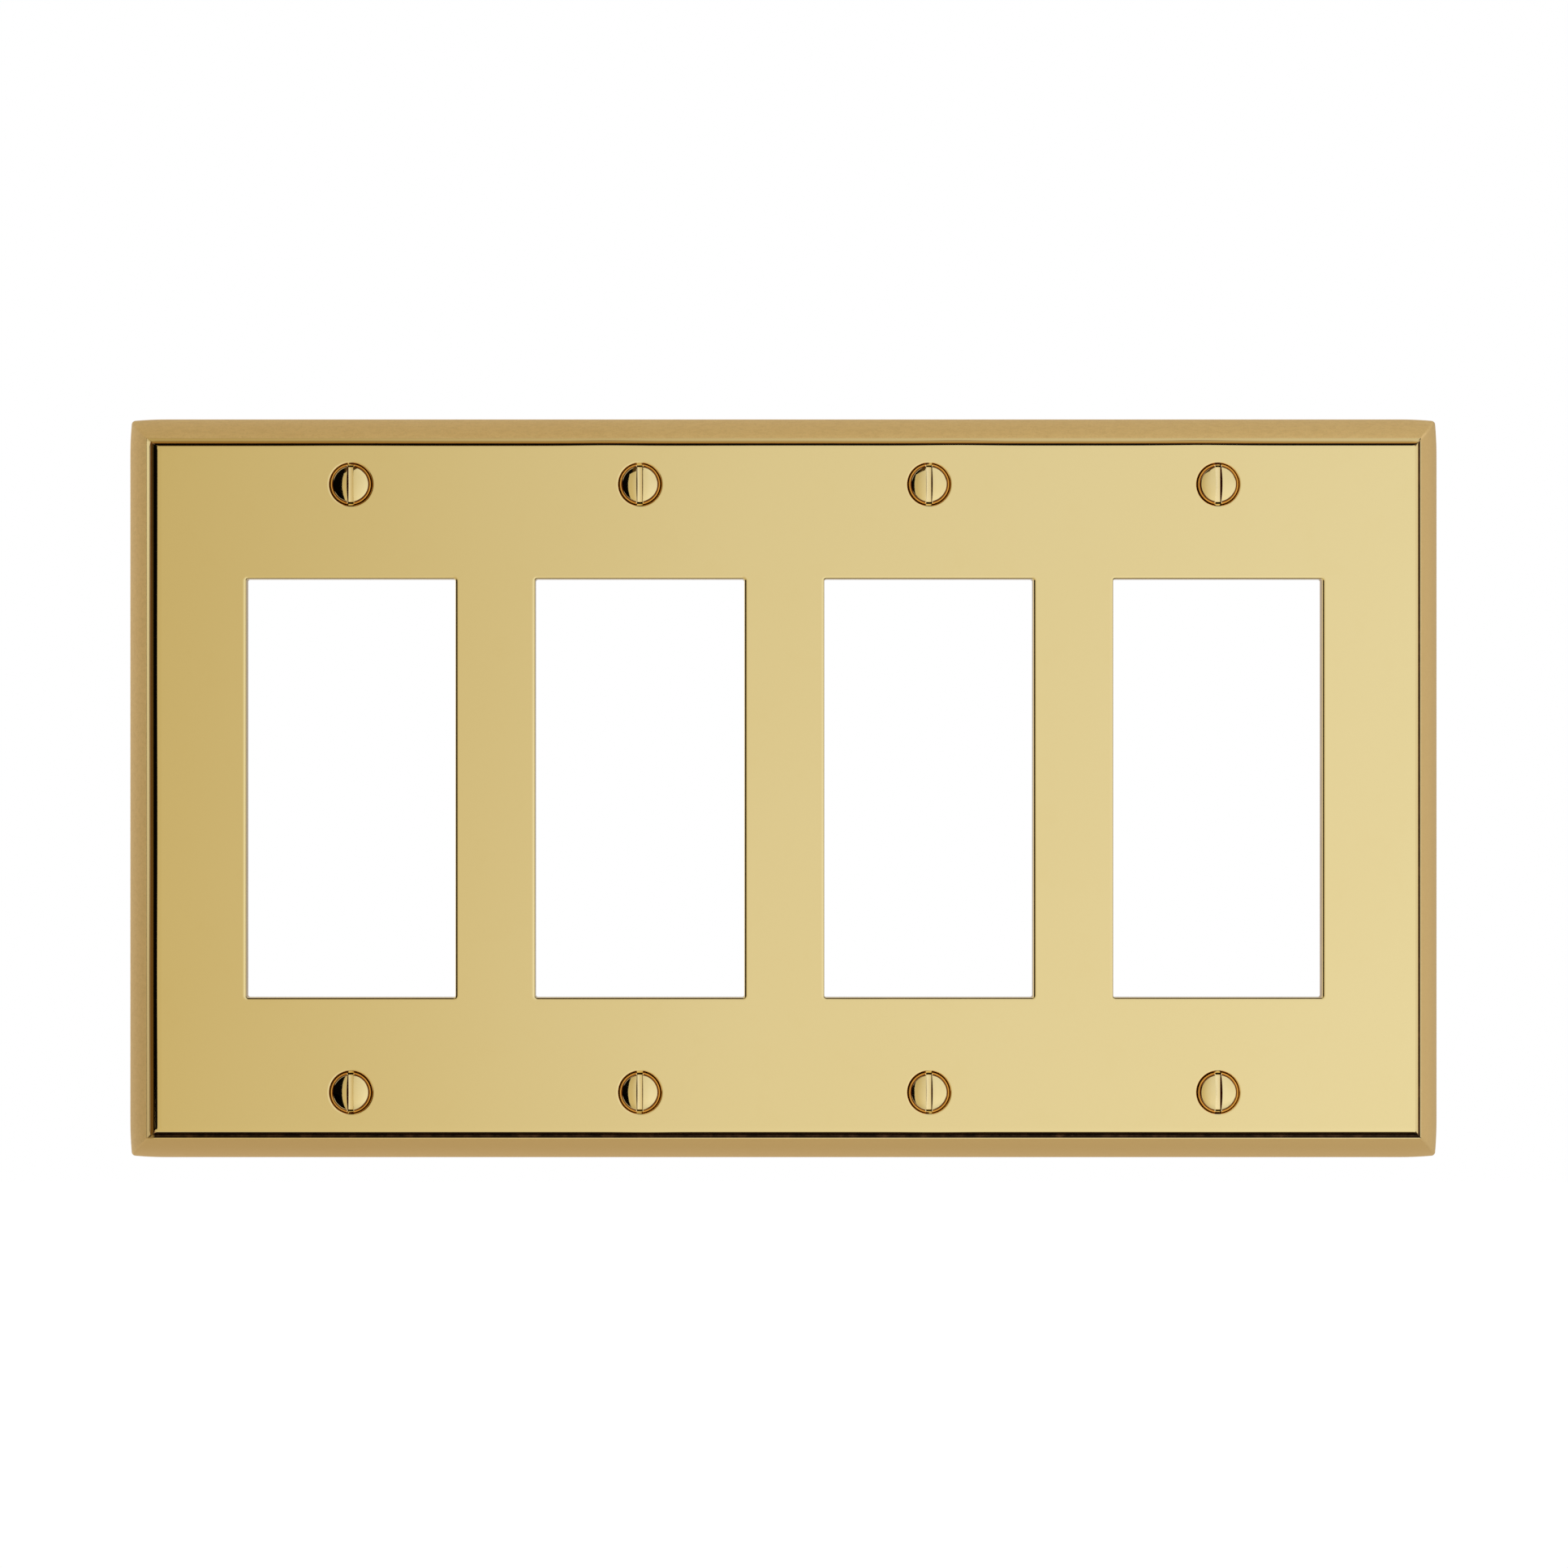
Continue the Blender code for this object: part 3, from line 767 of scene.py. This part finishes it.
def build_screw(materials):
    head, neck_z = head_mesh()
    bm = bmesh.new()
    bm.from_mesh(head)
    bpy.data.meshes.remove(head)
    for face in bm.faces:
        face.material_index = head_part(face)
    head_faces = len(bm.faces)
    add_thread(bm, z_tip=-(TIP_Y + DEPTH), z_top=neck_z + THREAD_IN_HEAD)
    bm.faces.ensure_lookup_table()
    for face in bm.faces[head_faces:]:
        face.material_index = THREAD
    bmesh.ops.recalc_face_normals(bm, faces=bm.faces)
    mesh = bpy.data.meshes.new("slotted_oval_head_screw_fine")
    return finish_mesh(bm, mesh, materials, sharp=32)


def build_washer(materials):
    """A flat ring with rounded edges; its front lies at local z = 0."""
    back = -WASHER_THICKNESS
    profile = []
    for r, z, first_angle in (
        (WASHER_OUTER_R, 0.0, 90), (WASHER_OUTER_R, back, 0),
        (WASHER_INNER_R, back, -90), (WASHER_INNER_R, 0.0, -180),
    ):
        outside = r == WASHER_OUTER_R
        e = WASHER_OUTER_ROUND if outside else WASHER_INNER_ROUND
        centre_r = r - e if outside else r + e
        centre_z = z - e if z == 0.0 else z + e
        for i in range(6):
            a = math.radians(first_angle - 18 * i)
            profile.append((centre_r + e * math.cos(a), centre_z + e * math.sin(a)))
    bm = lathe(profile, 72, closed=True)
    mesh = bpy.data.meshes.new("retaining_washer_fine")
    return finish_mesh(bm, mesh, materials, sharp=40)


# =============================================================================================
# shader helpers
# =============================================================================================

BLACK, WHITE = (0.0, 0.0, 0.0), (1.0, 1.0, 1.0)


class Shader:
    """Adds nodes to the tree of a material or world; any input can be a value or a socket."""

    def __init__(self, owner, clear=True):
        owner.use_nodes = True
        self.tree = owner.node_tree
        if clear:
            self.tree.nodes.clear()

    def connect(self, node, inputs):
        for key, value in inputs.items():
            if isinstance(value, bpy.types.NodeSocket):
                self.tree.links.new(value, node.inputs[key])
            else:
                node.inputs[key].default_value = value

    def add(self, kind, inputs=None, **settings):
        node = self.tree.nodes.new(kind)
        for key, value in settings.items():
            setattr(node, key, value)
        self.connect(node, inputs or {})
        return node

    def math(self, operation, a, b=0.0, clamp=False):
        node = self.add("ShaderNodeMath", {0: a, 1: b}, operation=operation, use_clamp=clamp)
        return node.outputs[0]

    def times(self, a, b, clamp=False):
        return self.math("MULTIPLY", a, b, clamp)

    def vary(self, base, by, amount):
        """base + by * amount"""
        return self.math("ADD", base, self.times(by, amount))

    def separate(self, vector):
        return self.add("ShaderNodeSeparateXYZ", {"Vector": vector}).outputs

    def span(self, value, start, end, low=0.0, high=1.0, smooth=False):
        """Maps start..end to low..high, held beyond both ends."""
        return self.add(
            "ShaderNodeMapRange",
            {"Value": value, "From Min": start, "From Max": end, "To Min": low, "To Max": high},
            interpolation_type="SMOOTHSTEP" if smooth else "LINEAR",
        ).outputs[0]

    def ramp(self, value, *stops):
        """Stops are (position, colour)."""
        node = self.add("ShaderNodeValToRGB", {"Fac": value})
        elements = node.color_ramp.elements
        while len(elements) < len(stops):
            elements.new(0.5)
        for element, (position, colour) in zip(elements, stops):
            element.position = position
            element.color = (*colour, 1.0)
        return node.outputs["Color"]

    def mask(self, value, start, end):
        return self.ramp(value, (start, BLACK), (end, WHITE))

    def mix(self, share, a, b):
        a, b = (c if isinstance(c, bpy.types.NodeSocket) else (*c, 1.0) for c in (a, b))
        # inputs 6 and 7 are the node's two colours
        return self.add("ShaderNodeMix", {0: share, 6: a, 7: b}, data_type="RGBA").outputs[2]

    def noise(self, vector, scale, detail, roughness=0.5):
        return self.add("ShaderNodeTexNoise", {
            "Vector": vector, "Scale": scale, "Detail": detail, "Roughness": roughness,
        }).outputs["Fac"]

    def stretch(self, vector, scale, offset=(0, 0, 0), rotation=(0, 0, 0)):
        return self.add("ShaderNodeMapping", {
            "Vector": vector, "Scale": scale, "Rotation": rotation, "Location": offset,
        }).outputs["Vector"]

    def bump(self, height, distance, normal=None):
        inputs = {"Height": height, "Distance": distance, "Strength": 1.0}
        if normal is not None:
            inputs["Normal"] = normal
        return self.add("ShaderNodeBump", inputs).outputs["Normal"]

    def emit(self, colour, strength):
        glow = self.add("ShaderNodeEmission", {"Color": colour, "Strength": strength})
        self.add("ShaderNodeOutputMaterial", {"Surface": glow.outputs[0]})


class Surface(Shader):
    """A Principled material patterned in object coordinates."""

    def __init__(self, name):
        self.material = bpy.data.materials.new(name)
        super().__init__(self.material, clear=False)
        self.where = self.add("ShaderNodeTexCoord").outputs["Object"]

    def object_shift(self, y_factor=None):
        """An offset that differs from object to object."""
        random = self.add("ShaderNodeObjectInfo").outputs["Random"]
        y = random if y_factor is None else self.times(random, y_factor)
        return self.add("ShaderNodeCombineXYZ", {"X": random, "Y": y, "Z": random}).outputs[0]

    def finish(self, colour, roughness, normal, metallic=1.0, extra=None):
        self.connect(self.tree.nodes["Principled BSDF"], {
            "Base Color": colour, "Metallic": metallic, "Roughness": roughness,
            "Normal": normal, **(extra or {}),
        })
        return self.material


# =============================================================================================
# materials of the plate
# =============================================================================================


def polished_colour(s, patchy_painted_shade):
    tone = s.noise(s.where, scale=11.0, detail=3.0, roughness=0.55)
    colour = s.ramp(
        tone, (0.30, (0.878, 0.676, 0.305)), (0.55, (0.886, 0.687, 0.317)),
        (0.75, (0.892, 0.697, 0.330)),
    )
    blush = s.noise(s.where, scale=160.0, detail=4.0, roughness=0.6)
    blush_share = s.times(s.mask(blush, start=0.55, end=0.75), 0.06)
    colour = s.mix(blush_share, colour, (0.80, 0.56, 0.20))
    # painted shade in the quirk and on the chamfer, standing in for their dark reflections: brown
    # first, then near black
    colour = s.mix(s.span(patchy_painted_shade, start=0.0, end=0.5), colour, (0.46, 0.22, 0.095))
    colour = s.mix(s.span(patchy_painted_shade, start=0.5, end=0.95), colour, (0.022, 0.012, 0.006))
    # painted shade inside the border, along the top and towards the foot of the left side
    x, _, z = s.separate(s.where)
    left_strip = s.span(x, start=-0.1003, end=-0.1008, smooth=True)
    towards_foot = s.span(z, start=0.050, end=-0.055, low=0.15, high=0.85)
    left = s.times(left_strip, towards_foot)
    top = s.span(z, start=0.0552, end=0.0554, high=0.55, smooth=True)
    return s.mix(s.math("MAXIMUM", left, top), colour, (0.46, 0.30, 0.11))


def polished_brass():
    """Buffed brass under clear lacquer: near mirror, with slow waves and faint hairlines."""
    s = Surface("polished_brass")
    # painted shade from the rings, broken into patches; it also makes the surface rougher
    painted_shade = s.add("ShaderNodeAttribute", attribute_name="painted_shade").outputs["Fac"]
    patches = s.noise(s.where, scale=500.0, detail=3.0, roughness=0.6)
    patchy_painted_shade = s.times(painted_shade, s.vary(0.85, patches, amount=0.3), clamp=True)
    colour = polished_colour(s, patchy_painted_shade)

    haze = s.noise(s.where, scale=45.0, detail=4.0, roughness=0.6)
    hair_at = s.stretch(s.where, scale=(60.0, 60.0, 5200.0), rotation=(0, math.radians(4), 0))
    hair = s.noise(hair_at, scale=1.0, detail=2.0)
    roughness = s.vary(0.030, haze, amount=0.030)
    roughness = s.vary(roughness, s.mask(hair, start=0.60, end=0.72), amount=0.018)
    roughness = s.vary(roughness, patchy_painted_shade, amount=0.10)

    wave = s.noise(s.where, scale=55.0, detail=1.0, roughness=0.4)
    normal = s.bump(wave, distance=0.000012)
    normal = s.bump(hair, distance=0.00000012, normal=normal)
    return s.finish(colour, roughness, normal)


def satin_painted_shade(s):
    """Share of painted shade on the border: full at the bottom, less at the sides, none on top."""
    x, _, z = s.separate(s.where)
    # the mitres part top and bottom rails (1) from the two side posts (0)
    mitre = s.math("SUBTRACT", s.math("ABSOLUTE", z), s.math("ABSOLUTE", x))
    rail = s.span(mitre, start=-0.0463, end=-0.0454, smooth=True)
    lower = s.math("LESS_THAN", z, 0.0)
    left_post = s.span(z, start=0.03, end=-0.055, low=0.06, high=0.30)
    right_post = s.times(s.math("GREATER_THAN", x, 0.0), 0.80)
    posts = s.math("MAXIMUM", left_post, right_post)
    on_posts = s.times(s.math("SUBTRACT", 1.0, rail), posts)
    return s.math("ADD", s.times(rail, lower), on_posts, clamp=True)


def satin_brass():
    """The border: abrasive-blasted and lightly brushed, so it holds no image."""
    s = Surface("satin_brass")
    tone = s.noise(s.where, scale=35.0, detail=4.0, roughness=0.6)
    colour = s.ramp(tone, (0.3, (0.91, 0.620, 0.260)), (0.7, (0.94, 0.655, 0.285)))
    speck = s.noise(s.where, scale=3200.0, detail=2.0, roughness=0.6)
    speck_share = s.times(s.mask(speck, start=0.50, end=0.70), 0.30)
    colour = s.mix(speck_share, colour, (0.68, 0.46, 0.18))
    rubbed_at = s.stretch(s.where, scale=(700.0, 1300.0, 1500.0))
    rubbed = s.noise(rubbed_at, scale=1.0, detail=4.0, roughness=0.68)
    rubbed_share = s.times(s.mask(rubbed, start=0.44, end=0.62), 0.26)
    colour = s.mix(rubbed_share, colour, (0.72, 0.46, 0.18))
    # painted shade: darker along the bottom and on the side posts, most on the right
    colour = s.mix(satin_painted_shade(s), colour, (0.595, 0.383, 0.140))

    roughness = s.vary(0.50, s.noise(s.where, scale=300.0, detail=3.0), amount=0.08)
    grain = s.noise(s.where, scale=5200.0, detail=3.0, roughness=0.6)
    coarse = s.noise(s.where, scale=1500.0, detail=2.0)
    normal = s.bump(grain, distance=0.000009)
    normal = s.bump(coarse, distance=0.000010, normal=normal)
    return s.finish(colour, roughness, normal, metallic=0.30, extra={"Specular IOR Level": 0.25})


def forged_back():
    """The hollow back: as-forged brass, dull and mottled, darker in its corners."""
    s = Surface("forged_back")
    broad = s.noise(s.where, scale=26.0, detail=6.0, roughness=0.65)
    colour = s.ramp(
        broad, (0.28, (0.74, 0.53, 0.22)), (0.50, (0.84, 0.63, 0.28)), (0.72, (0.90, 0.70, 0.34))
    )
    spots = s.noise(s.where, scale=240.0, detail=5.0, roughness=0.7)
    spot_share = s.times(s.mask(spots, start=0.52, end=0.68), 0.32)
    colour = s.mix(spot_share, colour, (0.40, 0.25, 0.095))
    # darker where the ambient occlusion node finds the hollow closed in, at its corners
    openness = s.add("ShaderNodeAmbientOcclusion", {"Distance": 0.004}, samples=4).outputs["AO"]
    colour = s.mix(s.math("SUBTRACT", 1.0, openness, clamp=True), colour, (0.20, 0.12, 0.05))

    pit = s.noise(s.where, scale=900.0, detail=5.0, roughness=0.65)
    swirl_at = s.stretch(s.where, scale=(90.0, 90.0, 2600.0))
    swirl = s.noise(swirl_at, scale=1.0, detail=3.0, roughness=0.6)
    normal = s.bump(broad, distance=0.00010)
    normal = s.bump(pit, distance=0.000035, normal=normal)
    normal = s.bump(swirl, distance=0.000008, normal=normal)
    return s.finish(colour, s.vary(0.42, spots, amount=0.22), normal)


def cut_brass():
    """Walls of the openings and the screw holes: cut and then only lightly buffed."""
    s = Surface("cut_brass")
    tone = s.noise(s.where, scale=400.0, detail=3.0)
    colour = s.ramp(tone, (0.3, (0.50, 0.29, 0.095)), (0.7, (0.60, 0.37, 0.135)))
    lines_at = s.stretch(s.where, scale=(700.0, 9000.0, 700.0))
    lines = s.noise(lines_at, scale=1.0, detail=2.0)
    roughness = s.vary(0.12, lines, amount=0.10)
    return s.finish(colour, roughness, s.bump(lines, distance=0.0000030))


# =============================================================================================
# materials of the screws and washers
# =============================================================================================


def screw_head_brass():
    """Polished crown of a screw; each screw's haze differs a little."""
    s = Surface("screw_head_brass")
    at = s.stretch(s.where, scale=(1, 1, 1), offset=s.object_shift(y_factor=3.1))
    tone = s.noise(at, scale=260.0, detail=3.0)
    colour = s.ramp(tone, (0.3, (0.875, 0.668, 0.300)), (0.7, (0.90, 0.705, 0.340)))
    haze = s.noise(at, scale=900.0, detail=3.0, roughness=0.6)
    wave = s.noise(at, scale=420.0, detail=2.0)
    return s.finish(colour, s.vary(0.045, haze, amount=0.05), s.bump(wave, distance=0.000016))


def screw_slot_brass():
    """Floor of the slot, with milling lines along it."""
    s = Surface("screw_slot_brass")
    at = s.stretch(s.where, scale=(5200.0, 260.0, 900.0), offset=s.object_shift())
    lines = s.noise(at, scale=1.0, detail=3.0, roughness=0.6)
    colour = s.ramp(lines, (0.3, (0.93, 0.70, 0.33)), (0.7, (0.97, 0.77, 0.40)))
    return s.finish(colour, s.vary(0.10, lines, amount=0.12), s.bump(lines, distance=0.000002))


def screw_thread_brass():
    s = Surface("screw_thread_brass")
    shift = s.object_shift()
    at = s.stretch(s.where, scale=(1, 1, 1), offset=shift)
    tone = s.noise(at, scale=500.0, detail=4.0, roughness=0.6)
    colour = s.ramp(tone, (0.3, (0.70, 0.49, 0.19)), (0.7, (0.84, 0.63, 0.29)))
    lines_at = s.stretch(s.where, scale=(1500.0, 1500.0, 9000.0), offset=shift)
    lines = s.noise(lines_at, scale=1.0, detail=3.0, roughness=0.6)
    return s.finish(colour, s.vary(0.20, lines, amount=0.16), s.bump(lines, distance=0.0000035))


def slot_wall_painted_shade():
    """Sides of the slot: painted shade, dark as the shaded walls of the slot."""
    s = Surface("slot_wall_painted_shade")
    shade_mottle = s.noise(s.where, scale=1500.0, detail=4.0, roughness=0.6)
    colour = s.ramp(shade_mottle, (0.35, (0.13, 0.048, 0.011)), (0.70, (0.24, 0.10, 0.024)))
    marks_at = s.stretch(s.where, scale=(900.0, 400.0, 3000.0))
    marks = s.noise(marks_at, scale=1.0, detail=2.0)
    return s.finish(
        colour, s.vary(0.30, shade_mottle, amount=0.12), s.bump(marks, distance=0.0000025),
        extra={"Specular Tint": (0.55, 0.30, 0.12, 1.0)},
    )


def screw_rim_painted_amber():
    """The rim of the head: painted reflection, orange for the amber light bounced between the head
    and the countersink.
    """
    s = Surface("screw_rim_painted_amber")
    tone = s.noise(s.where, scale=700.0, detail=3.0, roughness=0.6)
    colour = s.ramp(tone, (0.3, (0.78, 0.32, 0.045)), (0.7, (0.86, 0.44, 0.080)))
    wave = s.noise(s.where, scale=900.0, detail=2.0)
    return s.finish(colour, s.vary(0.05, tone, amount=0.06), s.bump(wave, distance=0.000004))


def groove_painted_shade():
    """The turned groove round the crown: painted shade, red brown for the shaded gap round the
    crown.
    """
    s = Surface("groove_painted_shade")
    groove_shade_mottle = s.noise(s.where, scale=900.0, detail=3.0, roughness=0.6)
    colour = s.ramp(groove_shade_mottle, (0.35, (0.16, 0.045, 0.008)), (0.70, (0.30, 0.10, 0.018)))
    wave = s.noise(s.where, scale=1500.0, detail=2.0)
    return s.finish(colour, s.vary(0.16, groove_shade_mottle, amount=0.12), s.bump(wave, distance=0.000002))


def nylon():
    s = Surface("washer_nylon")
    at = s.stretch(s.where, scale=(1, 1, 1), offset=s.object_shift())
    cloud = s.noise(at, scale=350.0, detail=4.0, roughness=0.6)
    colour = s.ramp(cloud, (0.3, (0.74, 0.72, 0.62)), (0.7, (0.84, 0.83, 0.75)))
    grain = s.noise(at, scale=1800.0, detail=3.0)
    return s.finish(
        colour, s.vary(0.38, cloud, amount=0.18), s.bump(grain, distance=0.000012), metallic=0.0,
        extra={
            "Subsurface Weight": 0.25,
            "Subsurface Radius": (0.0012, 0.0010, 0.0007),
            "Subsurface Scale": 1.0,
        },
    )


# =============================================================================================
# pieces on the frame
# =============================================================================================


def fit(obj, rides, part):
    """Hangs an object on the frame in place of a CAD part."""
    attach(obj, rides)
    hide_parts(part)


plate_materials = [polished_brass(), satin_brass(), forged_back(), cut_brass()]
plate = place("face_plate_fine", build_plate(plate_materials))
fit(plate, "plate", "face_plate")

# in the order of the indices CROWN to GROOVE
screw_mesh = build_screw([
    screw_head_brass(), screw_slot_brass(), screw_thread_brass(),
    slot_wall_painted_shade(), screw_rim_painted_amber(), groove_painted_shade(),
])
washer_mesh = build_washer([nylon()])
FACING_FRONT = (math.pi / 2, 0, 0)
for (row, gang), (x, z) in SCREW_AT.items():
    part = f"screw_{row}_{gang}"
    screw = place(f"{part}_fine", screw_mesh, (x, -DEPTH, z), FACING_FRONT)
    fit(screw, part, part)
    part = f"retaining_washer_{row}_{gang}"
    washer = place(f"{part}_fine", washer_mesh, (x, WASHER_FRONT_Y, z), FACING_FRONT)
    fit(washer, f"washer_{row}_{gang}", part)


# =============================================================================================
# studio: white surroundings, one large soft screen in front, open studio dark beyond its edges
# =============================================================================================

SCREEN_Y = -0.256
SCREEN_STRENGTH = 1.15
DIM_WARM, WARM, COOL = (0.45, 0.415, 0.295), (0.56, 0.52, 0.38), (0.775, 0.828, 0.90)
SIDE_GREY, FILL_YELLOW = (0.80, 0.82, 0.84), (1.0, 0.82, 0.25)
RIGHT_SCREEN_X = 1.4

# outlines as (x, z)
FRONT_OUTLINE = (
    (-0.29, -0.64), (RIGHT_SCREEN_X, -0.64), (RIGHT_SCREEN_X, 1.2), (0.10, 0.62), (0.02, 0.48),
    (-0.05, 0.37), (-0.238, 0.30), (-0.238, -0.10), (-0.262, -0.33),
)
LEFT_OUTLINE = ((-0.9, -0.64), (-0.285, -0.64), (-0.255, -0.33), (-0.236, -0.14), (-0.9, -0.14))
FAR_LEFT_OUTLINE = ((-1.70, -0.66), (-0.78, -0.66), (-0.78, -0.33), (-1.70, -0.33))


def upright(outline, y):
    return [(x, y, z) for x, z in outline]


def flat_mesh(name, corners, material):
    mesh = bpy.data.meshes.new(name)
    mesh.from_pydata(corners, [], [tuple(range(len(corners)))])
    mesh.materials.append(material)
    return mesh


def card(name, corners, material):
    """A glowing sheet that the camera doesn't see."""
    obj = place(name, flat_mesh(name, corners, material))
    obj.visible_camera = False
    obj.visible_shadow = False
    return obj


def screen_material(name, strength, left, right, from_x=0.0, to_x=1.0, lift=0.0,
                    low_z=-0.45, low_share=0.45):
    """A glow that turns from the left colour to the right one between two X. Lift brightens it
    low down and dims it high up; at low_z it is down to low_share."""
    material = bpy.data.materials.new(name)
    s = Shader(material)
    x, _, z = s.separate(s.add("ShaderNodeNewGeometry").outputs["Position"])
    across = s.span(x, start=from_x, end=to_x)
    middle = tuple((a + b) / 2 + (b - a) * 0.18 for a, b in zip(left, right))
    colour = s.ramp(across, (0.0, left), (0.5, middle), (1.0, right))
    up = s.span(z, start=-0.2, end=0.2, low=1.0 + lift, high=1.0 - lift)
    down = s.span(z, start=low_z, end=low_z * 0.45, low=low_share)
    s.emit(colour, s.times(s.times(up, down), strength))
    return material


def build_front_screen():
    glow = screen_material(
        "front_screen_glow", SCREEN_STRENGTH, WARM, COOL, from_x=-0.164, to_x=0.164,
        lift=0.06, low_z=-0.60, low_share=0.80,
    )
    card("front_screen", upright(FRONT_OUTLINE, SCREEN_Y), glow)


def build_left_sheets():
    """Two sheets low on the left that light the plate alone, so the crowns stay dark there."""
    only_plate = bpy.data.collections.new("lit_by_left_sheets")
    only_plate.objects.link(plate)
    near = screen_material("left_sheet_glow", SCREEN_STRENGTH, DIM_WARM, WARM,
                           from_x=-0.50, to_x=-0.24, low_z=-1.5, low_share=1.0)
    far = screen_material("far_sheet_glow", SCREEN_STRENGTH, DIM_WARM, WARM,
                          from_x=-1.47, to_x=-0.90, low_z=-3.0, low_share=1.0)
    for name, y, outline, glow in (
        ("left_sheet", SCREEN_Y + 0.002, LEFT_OUTLINE, near),
        ("far_left_sheet", -0.90, FAR_LEFT_OUTLINE, far),
    ):
        sheet = card(name, upright(outline, y), glow)
        sheet.light_linking.receiver_collection = only_plate


def build_right_screen():
    glow = screen_material("right_screen_glow", 1.0, SIDE_GREY, SIDE_GREY)
    edge = ((SCREEN_Y, -0.35), (0.6, -0.35), (0.6, 0.35), (SCREEN_Y, 0.35))
    card("right_screen", [(RIGHT_SCREEN_X, y, z) for y, z in edge], glow)


def build_overhead_fill():
    """Soft fill from above that mirror reflections don't show."""
    glow = screen_material("fill_glow", 0.60, FILL_YELLOW, FILL_YELLOW, low_z=-9.0, low_share=1.0)
    edge = ((-0.5, -0.36), (0.5, -0.36), (0.5, 0.06), (-0.5, 0.06))
    overhead = card("overhead_fill", [(x, y, 0.5) for x, y in edge], glow)
    overhead.visible_glossy = False


def room_shade(s, x, y, z):
    """The room in front of the plate: bright to the right, black to the left, brown above and
    pale or dark below."""
    def smooth(value, start, end, **ends):
        return s.span(value, start, end, smooth=True, **ends)

    over = s.math("MAXIMUM", z, 0.0)
    under = s.math("MAXIMUM", s.times(z, -1.0), 0.0)
    lean = s.math("ADD", x, s.times(y, 0.6))
    lean = s.math("SUBTRACT", lean, s.times(over, 0.45))
    lean = s.math("SUBTRACT", lean, s.times(under, 0.5))
    right = smooth(lean, -0.03, 0.03)

    near = smooth(y, -0.12, -0.32)
    not_far_left = smooth(x, -0.42, -0.30)
    above = s.times(smooth(z, 0.25, 0.75), s.times(near, not_far_left))
    room = s.mix(above, (0.002, 0.0015, 0.001), (0.075, 0.045, 0.016))

    lit_floor = s.times(smooth(y, 0.02, -0.10), smooth(x, -0.45, -0.30))
    floor_shade = s.mix(lit_floor, (0.030, 0.020, 0.010), (0.78, 0.78, 0.74))
    room = s.mix(smooth(z, -0.25, -0.55), room, floor_shade)

    level = smooth(s.math("ABSOLUTE", z), 0.25, 0.45, low=1.0, high=0.25)
    room = s.mix(right, room, s.mix(level, BLACK, SIDE_GREY))

    # in the diagonals between those four sides, round the plate's own plane, an even grey
    diagonal = s.math("MINIMUM", s.math("ABSOLUTE", x), s.math("ABSOLUTE", z))
    belt = s.times(smooth(diagonal, 0.24, 0.42), smooth(y, -0.36, -0.20))
    grey = s.ramp(s.math("ADD", s.times(x, 0.5), 0.5),
                  (0.25, (0.62, 0.60, 0.55)), (0.75, (0.10, 0.10, 0.09)))
    return s.mix(belt, room, grey)


def build_world():
    """White to the camera; what the brass reflects depends on the direction."""
    world = bpy.data.worlds.new("studio")
    bpy.context.scene.world = world
    s = Shader(world)
    x, y, z = s.separate(s.add("ShaderNodeTexCoord").outputs["Generated"])
    # behind the plate, white paper that darkens to the right
    behind = s.span(y, start=0.24, end=0.48, smooth=True)
    paper = s.ramp(
        s.math("ADD", s.times(x, 0.5), 0.5),
        (0.0, (0.88, 0.87, 0.84)), (0.5, (0.60, 0.60, 0.59)), (1.0, (0.34, 0.34, 0.33)),
    )
    shade = s.mix(behind, room_shade(s, x, y, z), paper)
    seen = s.mix(s.add("ShaderNodeLightPath").outputs["Is Camera Ray"], shade, WHITE)
    background = s.add("ShaderNodeBackground", {"Color": seen, "Strength": 1.0})
    s.add("ShaderNodeOutputWorld", {"Surface": background.outputs[0]})


def build_floor():
    """A plain pale floor well below the plate; it blends into the white backdrop."""
    material = bpy.data.materials.new("pale_floor")
    s = Shader(material)
    where = s.add("ShaderNodeTexCoord").outputs["Object"]
    grain = s.noise(where, scale=3.0, detail=2.0)
    s.emit(s.ramp(grain, (0.3, (0.985, 0.985, 0.985)), (0.7, WHITE)), strength=1.03)
    half, drop = 6.0, 0.9
    corners = [(-half, -half, 0), (half, -half, 0), (half, half, 0), (-half, half, 0)]
    floor = place("floor", flat_mesh("floor", corners, material), (0, 0, -drop))
    floor.visible_glossy = False
    floor.visible_shadow = False


build_front_screen()
build_left_sheets()
build_right_screen()
build_overhead_fill()
build_world()
build_floor()

# ---- camera: square on, in front of the panel and a little left of its middle ----------------
VIEW_DISTANCE = 0.450
CAMERA_X = -0.012
FRAME_WIDTH = 249.612403 * MM  # width of the view at the panel
VIEW_CENTRE_X, VIEW_CENTRE_Z = mm(-0.064599, 0.684755)  # middle of the view at the panel


def build_camera():
    data = bpy.data.cameras.new("camera")
    data.sensor_width = 36.0
    data.lens = data.sensor_width * VIEW_DISTANCE / FRAME_WIDTH
    data.shift_x = (VIEW_CENTRE_X - CAMERA_X) / FRAME_WIDTH
    data.shift_y = VIEW_CENTRE_Z / FRAME_WIDTH
    data.clip_start, data.clip_end = 0.01, 50.0
    location = (CAMERA_X, -DEPTH - VIEW_DISTANCE, 0.0)
    return place("camera", data, location, rotation=(math.pi / 2, 0.0, 0.0))


scene = bpy.context.scene
scene.camera = build_camera()
scene.view_settings.view_transform = "Standard"
scene.view_settings.look = "None"

bpy.context.view_layer.update()
